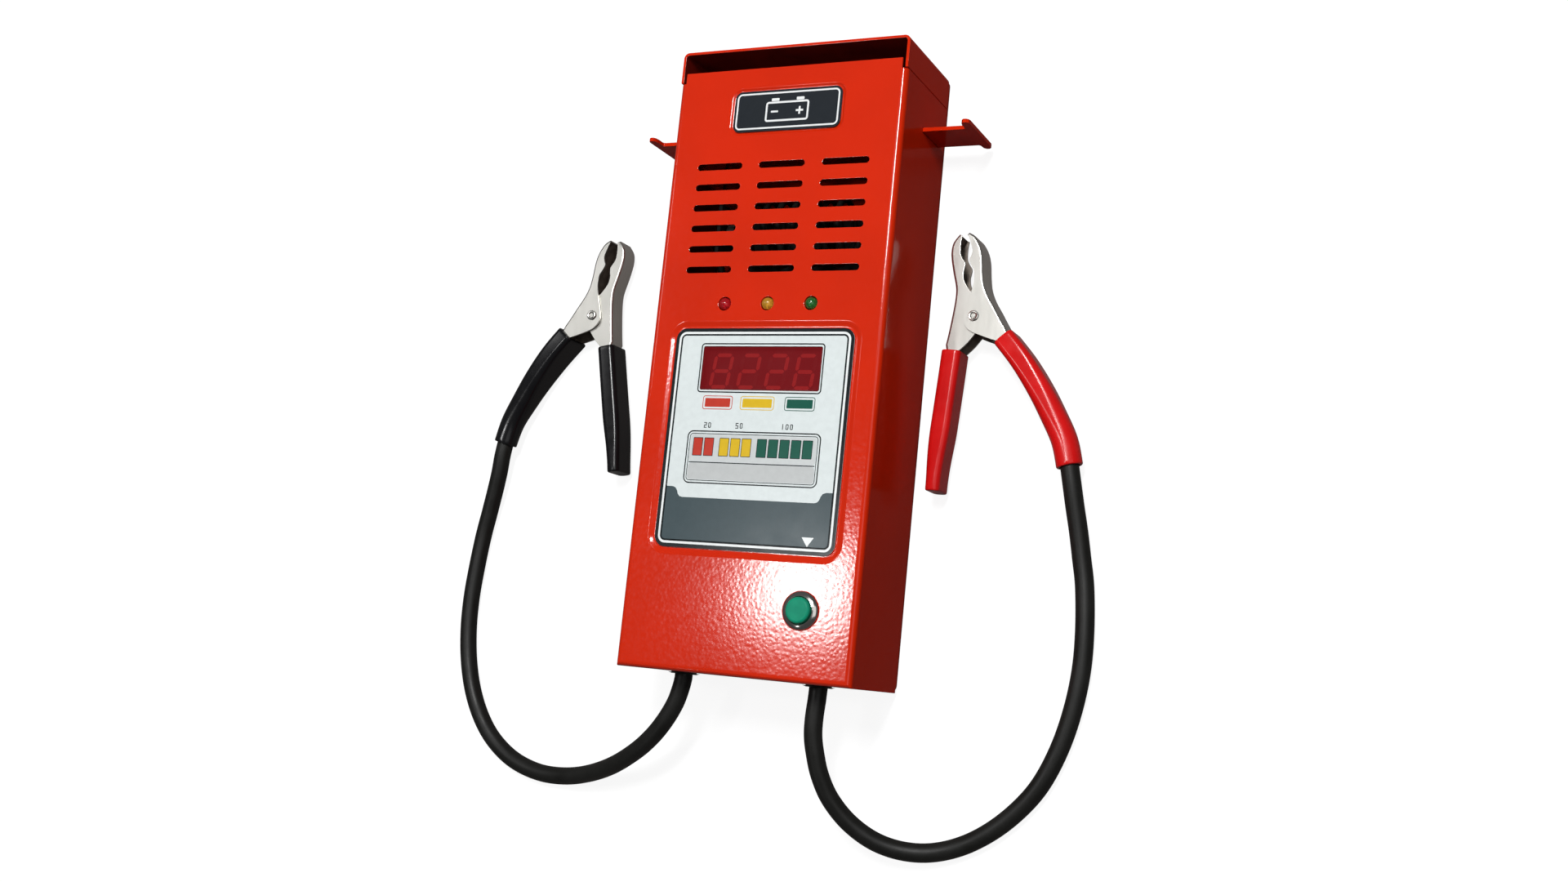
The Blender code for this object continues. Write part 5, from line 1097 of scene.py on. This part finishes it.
# The outer dark line is print, widened to 1.4 mm as painted shade where the label meets the recess.
dark_print_and_shade_lines = frame_line(LABEL_SIZE, LABEL_CORNER, LABEL_MIDDLE, 0.0, 0.0014)
dark_print_and_shade_lines += frame_line(LABEL_SIZE, LABEL_CORNER, LABEL_MIDDLE, 0.0023, 0.0007)
dark_print_and_shade_lines += frame_line(window_frame, 0.0015, window_frame_middle, 0.0, 0.0005)
dark_print_and_shade_lines += frame_line(scale_frame, scale_corner, scale_middle, 0.0, 0.0005)
dark_print_and_shade_lines += frame_line(scale_frame, scale_corner, scale_middle, 0.0011, 0.0003)
dark_print_and_shade_lines.append(cell(-0.0271, 0.0271, 0.0812, 0.0816, 0.0001))
print_on_label("label_lines", dark_print_and_shade_lines, "dark")
print_on_label("label_ring", frame_line(LABEL_SIZE, LABEL_CORNER, LABEL_MIDDLE, 0.0014, 0.0009), "white")
print_on_label("scale_field", [cell(-0.0272, 0.0272, 0.08165, 0.0924, 0.0012)], "grey")
print_on_label("scale_strip", [cell(-0.0272, 0.0272, 0.0746, 0.08115, 0.0012)], "mist")

foot = [(-0.0359, 0.0715), (-0.0330, 0.0715), (-0.0316, 0.0710), (-0.0308, 0.0698), (-0.0304, 0.0686)]
foot += [(-0.0296, 0.0677), (-0.0284, 0.0674)]
foot += [(-x, y) for x, y in foot[::-1]]
lower_edge = grown(LABEL_SIZE, -0.0054, 0.0018, LABEL_MIDDLE)
foot_outline = [(x, y + CASE_LOW) for x, y in foot]
foot_outline += [(x, y) for x, y in lower_edge if y < 0.060 + CASE_LOW][::-1]
print_on_label("label_foot", [foot_outline], "slate")
mark = [(0.0247, 0.0543), (0.0297, 0.0543), (0.0272, 0.0507)]
print_on_label("label_mark", [[(x, y + CASE_LOW) for x, y in mark]], "white", 2)

cells_low, cells_high = 0.1035, 0.1070
for tone, left, right in (("red", -0.0227, -0.0116), ("yellow", -0.0062, 0.0065), ("green", 0.0129, 0.0238)):
    ring = []
    for gap in (0.0010, 0.0007):
        ring.append(cell(left - gap, right + gap, cells_low - gap, cells_high + gap, gap))
    print_on_label("cell_" + tone, ring + [cell(left, right, cells_low, cells_high)], tone)
bars_low, bars_high = 0.0842, 0.0910
bar_left, bar_width, bar_rim = -0.0257, 0.00375, 0.00025
bars = {"red": [], "yellow": [], "green": []}
bar_rims = []
for number in range(10):
    tone = "red" if number < 2 else "yellow" if number < 5 else "green"
    bar_right = bar_left + bar_width
    bar = cell(bar_left, bar_right, bars_low, bars_high, 0.0002)
    bars[tone].append(bar)
    bar_rims.append(cell(bar_left - bar_rim, bar_right + bar_rim, bars_low - bar_rim, bars_high + bar_rim))
    bar_rims.append(bar)
    bar_left = bar_right + (0.0029 if number in (1, 4) else 0.0011)
print_on_label("bar_rims", bar_rims, "dark", 2)
for tone, outlines in bars.items():
    print_on_label("bars_" + tone, outlines, tone, 2)

number_outlines = []
for body, x in (("20", -0.0205), ("50", -0.0066), ("100", 0.0140)):
    number_outlines += plain_number(body, (x, 0.0962 + CASE_LOW), 0.0022)
print_on_label("scale_numbers", number_outlines, "dark")

badge_ink = ink("badge_ink", (0.021, 0.025, 0.030))
badge_white = ink("badge_white", (0.80, 0.82, 0.82))
badge_outline = round_rect(*BADGE_SIZE, BADGE_CORNER, BADGE_MIDDLE)
badge = film("badge_plate", [badge_outline], BADGE_FACE - 0.0005, BADGE_FACE, badge_ink)
fix(badge, "tester", "badge_film", "name_badge")
badge_lines = frame_line(BADGE_SIZE, BADGE_CORNER, BADGE_MIDDLE, 0.0009, 0.0007)
battery = (0.0190, 0.0084)
battery_middle = (BADGE_MIDDLE[0], BADGE_MIDDLE[1] - 0.0006)
badge_lines += frame_line(battery, 0.0012, battery_middle, 0.0, 0.0008)
for side in (-1, 1):
    badge_lines.append(round_rect(0.0034, 0.0012, 0.0003, (side * 0.0055, battery_middle[1] + 0.0050), 2))
badge_lines.append(round_rect(0.0032, 0.0008, 0.0002, (-0.0055, battery_middle[1]), 2))
plus = [(-0.4, 1.6), (-0.4, 0.4), (-1.6, 0.4), (-1.6, -0.4), (-0.4, -0.4), (-0.4, -1.6)]
plus += [(-x, -y) for x, y in plus]
badge_lines.append([(0.0055 + x * 0.001, battery_middle[1] + y * 0.001) for x, y in plus])
badge_print = film("badge_print", badge_lines, BADGE_FACE, BADGE_FACE + PRINT, badge_white)
fix(badge_print, "tester", "badge_film")


# Display and its window.
# A four-digit seven-segment display sits behind a dark red filter pane that is level with the
# label. A plain reading glows dimly through the pane, and the dark segments hardly show.
BOARD_FACE = 0.0368
DISPLAY_FACE = 0.0448
PANE_LOW = 0.0456
DIGIT = (0.0072, 0.0128)
DIGIT_PITCH = 0.0121
DIGIT_DROP = 0.0005
STROKE = 0.0015
SLANT = 0.12

pane_red = finish_of("pane_red", (0.25, 0.010, 0.014), 0.16, Alpha=0.55, Specular_IOR_Level=0.12)
scuffed(pane_red, 0.12, 0.22, 120.0)
pane = slab("pane", round_rect(*WINDOW_SIZE, 0.0006, WINDOW_MIDDLE), PANE_LOW, LABEL_FACE, pane_red)
pane_rim = grown(WINDOW_SIZE, 0.0032, 0.0022, WINDOW_MIDDLE)
welded_to(pane, slab("pane_rim", pane_rim, PANE_LOW - 0.0005, PANE_LOW + 0.0005))
eased(pane, 0.0002, 2, 50.0)
fix(shade(pane, 35.0), "tester", "red_filter", "display_window")

display_face = finish_of("display_face", (0.045, 0.016, 0.016), 0.45)
clouded(display_face, (0.036, 0.012, 0.012), (0.054, 0.020, 0.020), 500.0)
display_outline = round_rect(0.0503, 0.0190, 0.0004, WINDOW_MIDDLE, 2)
display_box = slab("display_box", display_outline, BOARD_FACE, DISPLAY_FACE, display_face)
fix(shade(display_box, 35.0), "tester", "display_black", "display_module")
segment_dark = finish_of("segment_dark", (0.11, 0.045, 0.042), 0.5)
clouded(segment_dark, (0.09, 0.036, 0.034), (0.13, 0.054, 0.050), 900.0)
segment_lit = finish_of(
    "segment_lit", (0.50, 0.060, 0.050), 0.5, Emission_Color=(1.0, 0.06, 0.05, 1.0), Emission_Strength=0.42
)
clouded(segment_lit, (0.44, 0.050, 0.042), (0.56, 0.070, 0.060), 900.0)


def stroke(start, end):
    """One segment: a bar with pointed ends."""
    start, end = Vector(start), Vector(end)
    along = (end - start).normalized()
    across = Vector((-along.y, along.x)) * STROKE / 2
    tip = along * STROKE / 2
    start, end = start + along * 0.0003, end - along * 0.0003
    shape = [start, start + tip - across, end - tip - across, end, end - tip + across, start + tip + across]
    return [(point.x + SLANT * point.y, point.y) for point in shape]


half_wide, half_tall = DIGIT[0] / 2, DIGIT[1] / 2
digit_bars = [stroke((-half_wide, y), (half_wide, y)) for y in (half_tall, 0, -half_tall)]
digit_bars += [stroke((x, y), (x, y + half_tall)) for y in (0, -half_tall) for x in (-half_wide, half_wide)]
lit_bars = ((0, 1, 2, 3, 4, 5, 6), (0, 1, 2, 4, 5), (0, 1, 2, 4, 5), (0, 1, 2, 3, 5, 6))
segment_outlines = {"dark": [], "lit": []}
for number in range(4):
    x, y = (number - 1.5) * DIGIT_PITCH - 0.0006, WINDOW_MIDDLE[1] - DIGIT_DROP
    for index, bar in enumerate(digit_bars):
        state = "lit" if index in lit_bars[number] else "dark"
        segment_outlines[state].append([(x + across, y + up) for across, up in bar])
    segment_outlines["dark"].append(disc(0.0008, (x + 0.0050, y - 0.0064), 16))
for state, made in (("dark", segment_dark), ("lit", segment_lit)):
    segments = film("segments_" + state, segment_outlines[state], DISPLAY_FACE, DISPLAY_FACE + PRINT, made)
    fix(segments, "tester", "display_black")


# Lamps.
# Three round 5 mm indicator lamps of tinted clear epoxy, red, yellow and green from the left, each
# with the little metal cup of its chip showing inside. They stand on the board behind the panel.
LAMP_RADIUS = 0.0025
LAMP_TIP = PANEL_FACE + 0.0016
LAMP_HEIGHT = 0.0086
LAMP_FOOT = 0.0029
CUP_DEPTH = 0.0048
LEG_SIDE = 0.0006
LAMP_LEG_SPACING = 0.00254
tinned = finish_of("tinned", (0.66, 0.64, 0.58), 0.25, 1.0)
scuffed(tinned, 0.18, 0.34, 2000.0)
for tone_name, x, tone in (
    ("red", -LAMP_SPACING, (0.70, 0.012, 0.022)),
    ("yellow", 0.0, (0.88, 0.44, 0.040)),
    ("green", LAMP_SPACING, (0.030, 0.22, 0.040)),
):
    epoxy = finish_of("epoxy_" + tone_name, tone, 0.08, Transmission_Weight=0.55, IOR=1.50, Coat_Weight=0.2)
    grained(epoxy, 900.0, 0.00001, 0.2)
    dome = []
    for step in range(13):
        angle = math.pi / 2 * (1 - step / 12)
        dome.append((LAMP_RADIUS * math.cos(angle), LAMP_TIP - LAMP_RADIUS + LAMP_RADIUS * math.sin(angle)))
    base = LAMP_TIP - LAMP_HEIGHT
    profile = [(0.0, LAMP_TIP)] + dome[1:] + [
        (LAMP_RADIUS, base + 0.0010), (LAMP_FOOT, base + 0.0009), (LAMP_FOOT, base), (0.0, base),
    ]
    bulb = spun("bulb_" + tone_name, profile, 40, epoxy, (x, LAMP_Y, 0))
    fix(shade(bulb, 40.0), "tester", "lamp_" + tone_name, "lamp_" + tone_name)
    cup_low = LAMP_TIP - CUP_DEPTH
    profile = [
        (0.0, cup_low + 0.0006), (0.0004, cup_low + 0.0006), (0.0010, cup_low + 0.0012),
        (0.0012, cup_low + 0.0012), (0.0011, cup_low), (0.0, cup_low),
    ]
    cup = spun("cup_" + tone_name, profile, 24, tinned, (x + LAMP_LEG_SPACING / 2 - 0.0009, LAMP_Y, 0))
    for leg_x in (x - LAMP_LEG_SPACING / 2, x + LAMP_LEG_SPACING / 2):
        leg_outline = round_rect(LEG_SIDE, LEG_SIDE, 0.0001, (leg_x, LAMP_Y), 1)
        welded_to(cup, slab("leg", leg_outline, BOARD_FACE, cup_low + 0.0004))
    fix(shade(cup, 35.0), "tester", "bright_steel")


# Push button.
# A green plastic cap with a soft edge slides in a polished chrome bezel, which is screwed to the
# panel from behind with a nut. The cap alone moves, against a spring.
CAP_TOP = 0.0037
CAP_EDGE = 0.0011
cap_green = finish_of("cap_green", (0.006, 0.27, 0.155), 0.38, Specular_IOR_Level=0.12)
clouded(cap_green, (0.005, 0.25, 0.145), (0.007, 0.29, 0.165), 300.0)
grained(cap_green, 1200.0, 0.00001, 0.3)
bezel_chrome = finish_of("bezel_chrome", (0.62, 0.60, 0.57), 0.14, 1.0)
scuffed(bezel_chrome, 0.11, 0.18, 800.0)
profile = [(0.0053, 0.0016)]
for step in range(13):
    angle = math.radians(25.0 + 55.0 * step / 12)
    profile.append((0.00382 + 0.003735 * math.sin(angle), 0.00005 + 0.00205 * math.cos(angle)))
profile += [
    (0.0075, 0.0003), (0.0067, 0.0003), (0.0067, -0.0102), (0.0019, -0.0102), (0.0019, -0.0090),
    (0.0059, -0.0090), (0.0059, 0.0007), (0.0053, 0.0007),
]
bezel = spun("bezel", profile, 64, bezel_chrome, (*BUTTON_PLACE, PANEL_FACE))
fix(shade(bezel, 30.0), "tester", "bezel_chrome", "button_bezel")
profile = [(0.0, CAP_TOP + 0.00002), (0.0024, CAP_TOP)]
for step in range(9):
    angle = math.pi / 2 * step / 8
    profile.append((0.0039 + CAP_EDGE * math.sin(angle), CAP_TOP - CAP_EDGE + CAP_EDGE * math.cos(angle)))
profile += [
    (0.0050, 0.0004), (0.0056, 0.0004), (0.0056, -0.0008), (0.0016, -0.0008), (0.0016, -0.0120),
    (0.0, -0.0120),
]
cap = spun("cap", profile, 64, cap_green, (*BUTTON_PLACE, PANEL_FACE))
fix(shade(cap, 35.0), "button", "button_green", "button_cap")


# Rear cover and its screws.
# A flat coated steel plate closes the back. Six countersunk cross-head screws hold it to the
# flanges of the case and the lid.


def refinished(node_name, made):
    """Give a solid of the part a finish in place of its own."""
    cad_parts[node_name].data.materials.clear()
    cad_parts[node_name].data.materials.append(made)


refinished("rear_cover", red_coat)
screw_zinc = finish_of("screw_zinc", (0.62, 0.62, 0.60), 0.30, 1.0)
scuffed(screw_zinc, 0.22, 0.42, 600.0)
screw_nodes = [f"cover_screw_{number}" for number in range(1, 7)]
screw_places = []
for node_name in screw_nodes:
    low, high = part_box(node_name)
    screw_places.append(((low[0] + high[0]) / 2, (low[1] + high[1]) / 2, 0.0))
profile = [
    (0.0, 0.00635), (0.0012, 0.00635), (0.0015, 0.0060), (0.0015, 0.00155), (0.0028, 0.00025),
    (0.0029, 0.00015), (0.0, 0.00015),
]
cover_screw = spun("cover_screw", profile, 32, screw_zinc)
cross = [(0.00035, 0.0015), (0.00035, 0.00035), (0.0015, 0.00035)]
cross += [(x, -y) for x, y in cross[::-1]]
cross += [(-x, y) for x, y in cross[::-1]]
cut_with(cover_screw, slab("cross", cross, -0.001, 0.0009))
cover_screws = repeated("cover_screws", screw_places, cover_screw, screw_zinc)
fix(shade(cover_screws, 35.0), "tester", "bright_steel", *screw_nodes)


# Grommets.
# Black rubber rings in the holes of the lower end, which keep the sheet's edge off the leads. They are
# moulded with a groove and snapped into the sheet.
for side_name in ("left", "right"):
    profile = [
        (0.0039, 0.0006), (0.0041, 0.0008), (0.0050, 0.0008), (0.0061, 0.0004), (0.0064, 0.0003),
        (0.0051, 0.0003), (0.0051, -0.0015), (0.0064, -0.0015), (0.0064, -0.0030), (0.0039, -0.0030),
    ]
    exit_x, _, exit_z = LEAD_ROUTES[side_name][0]
    ring = spun("ring_" + side_name, profile, 48, lead_rubber, (exit_x, CASE_LOW, exit_z), STOOD_UP)
    fix(shade(ring, 35.0), "tester", "cable_rubber", "grommet_" + side_name)


# Pieces inside the case.
# They hardly show through the vents and the open lid. Most have the finish of the real one: laminate,
# moulded plastic, ceramic, copper, plated steel and rubber. The coil's resistance wire and its black
# bracket are coloured near black as painted shade, so that the vents stay dark.
COIL_TURNS = 8
COIL_RADIUS = 0.013
COIL_PITCH = 0.0065
COIL_STEPS = 32
ELEMENT_RADIUS = 0.0012
RETURN_TURNS = 5
RETURN_RADIUS = 0.0042
RETURN_WIRE = 0.0003
RETURN_STEPS = 24
INNER_WIRE_RADIUS = 0.0016
inside_finishes = {
    "board_laminate": ((0.010, 0.110, 0.050), 0.45, 0.0, ("circuit_board",)),
    "moulded_black": (
        (0.020, 0.020, 0.022), 0.45, 0.0, ("controller_chip", "switch_housing", "load_relay"),
    ),
    "phenolic_brown": ((0.050, 0.020, 0.012), 0.5, 0.0, ("terminal_block",)),
    "bushing_ceramic": ((0.10, 0.090, 0.078), 0.60, 0.0, ("coil_bushing_left", "coil_bushing_right")),
    "lug_copper": ((0.80, 0.42, 0.25), 0.35, 1.0, ("cable_lug_left", "cable_lug_right")),
    # Black bracket, made darker still as painted shade behind the vents.
    "bracket_black": ((0.012, 0.011, 0.011), 0.7, 0.0, ("coil_bracket", "bracket_screw")),
    "inner_zinc": ((0.55, 0.55, 0.53), 0.38, 1.0, (
        "button_nut", "board_screw_1", "board_screw_2", "relay_screw", "terminal_bolt_left",
        "terminal_bolt_right",
    )),
}
for finish_name, (tone, roughness, metallic, node_names) in inside_finishes.items():
    made = finish_of(finish_name, tone, roughness, metallic, Specular_IOR_Level=0.2)
    clouded_about(made, tone, 0.85, 1.08, 150.0)
    scuffed(made, roughness - 0.08, roughness + 0.10, 300.0)
    for node_name in node_names:
        refinished(node_name, made)

# The resistance wire is coloured near black as painted shade behind the vents.
element_wire = finish_of("element_wire", (0.014, 0.013, 0.012), 0.65, 0.0, Specular_IOR_Level=0.15)
scuffed(element_wire, 0.58, 0.72, 500.0)
coil_low, coil_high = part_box("load_coil")
coil_y = sum(corner[1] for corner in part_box("coil_bracket")) / 2
coil_z = sum(corner[2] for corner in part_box("coil_bushing_left")) / 2
element = [Vector((coil_low[0], coil_y, coil_z))]
for step in range(COIL_TURNS * COIL_STEPS + 1):
    turn = step / COIL_STEPS
    radius = COIL_RADIUS * eased_share(min(turn, COIL_TURNS - turn) / 0.75)
    angle = 2 * math.pi * turn
    x = COIL_PITCH * (turn - COIL_TURNS / 2)
    element.append(Vector((x, coil_y + radius * math.cos(angle), coil_z + radius * math.sin(angle))))
element.append(Vector((coil_high[0], coil_y, coil_z)))
fix(wire_curve("element", element, ELEMENT_RADIUS, 4, element_wire), "tester", "coil_wire", "load_coil")

WIRE_ROUTES = {
    "lead_tail_left": (
        (-0.0305, -0.1252, 0.0270), (-0.0305, -0.1230, 0.0270), (-0.0303, -0.1180, 0.0268),
        (-0.0279, -0.1095, 0.0222), (-0.0242, -0.1000, 0.0172), (-0.0223, -0.0915, 0.0151),
        (-0.0220, -0.0869, 0.0152), (-0.0220, -0.0836, 0.0152),
    ),
    "lead_tail_right": (
        (0.0282, -0.1252, 0.0270), (0.0282, -0.1230, 0.0270), (0.0281, -0.1180, 0.0268),
        (0.0263, -0.1095, 0.0222), (0.0236, -0.1000, 0.0172), (0.0222, -0.0915, 0.0151),
        (0.0220, -0.0869, 0.0152), (0.0220, -0.0836, 0.0152),
    ),
    "load_wire_left": (
        (-0.0293, -0.0640, 0.0124), (-0.0325, -0.0640, 0.0124), (-0.0366, -0.0544, 0.0085),
        (-0.0366, -0.0290, 0.0085), (-0.0366, 0.0120, 0.0085), (-0.0398, 0.0435, 0.0163),
        (-0.0398, 0.0515, 0.0240), (-0.0398, 0.0531, 0.0240),
    ),
    "load_wire_right": (
        (0.0153, -0.0290, 0.0124), (0.0185, -0.0290, 0.0124), (0.0366, -0.0098, 0.0085),
        (0.0366, 0.0216, 0.0085), (0.0398, 0.0435, 0.0163), (0.0398, 0.0515, 0.0240),
        (0.0398, 0.0531, 0.0240),
    ),
    "relay_wire": (
        (0.0293, -0.0640, 0.0124), (0.0325, -0.0640, 0.0124), (0.0293, -0.0518, 0.0156),
        (0.0100, -0.0475, 0.0124), (0.0100, -0.0443, 0.0124),
    ),
}
red_jacket = finish_of("red_jacket", (0.35, 0.020, 0.010), 0.45)
clouded(red_jacket, (0.30, 0.016, 0.008), (0.40, 0.024, 0.012), 120.0)
for node_name, route in WIRE_ROUTES.items():
    is_tail = node_name.startswith("lead_tail")
    is_red = node_name == "relay_wire"
    radius = LEAD_RADIUS if is_tail else INNER_WIRE_RADIUS
    made = red_jacket if is_red else lead_rubber
    inner_wire = wire_curve(node_name + "_jacket", routed(route, 8), radius, 6, made)
    fix(inner_wire, "tester", "red_insulation" if is_red else "cable_rubber", node_name)

spring_low, spring_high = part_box("button_spring")
spring_height = spring_high[2] - spring_low[2]
return_line = []
return_turn = disc(RETURN_RADIUS, BUTTON_PLACE, RETURN_STEPS)
for step in range(RETURN_TURNS * RETURN_STEPS + 1):
    rise = (spring_height - 2 * RETURN_WIRE) * step / (RETURN_TURNS * RETURN_STEPS)
    return_line.append(Vector((*return_turn[step % RETURN_STEPS], spring_low[2] + RETURN_WIRE + rise)))
return_spring = wire_mesh("return_spring", return_line, RETURN_WIRE, 2, spring_wire)
fix(return_spring, "tester", "spring_steel", "button_spring")
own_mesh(return_spring)
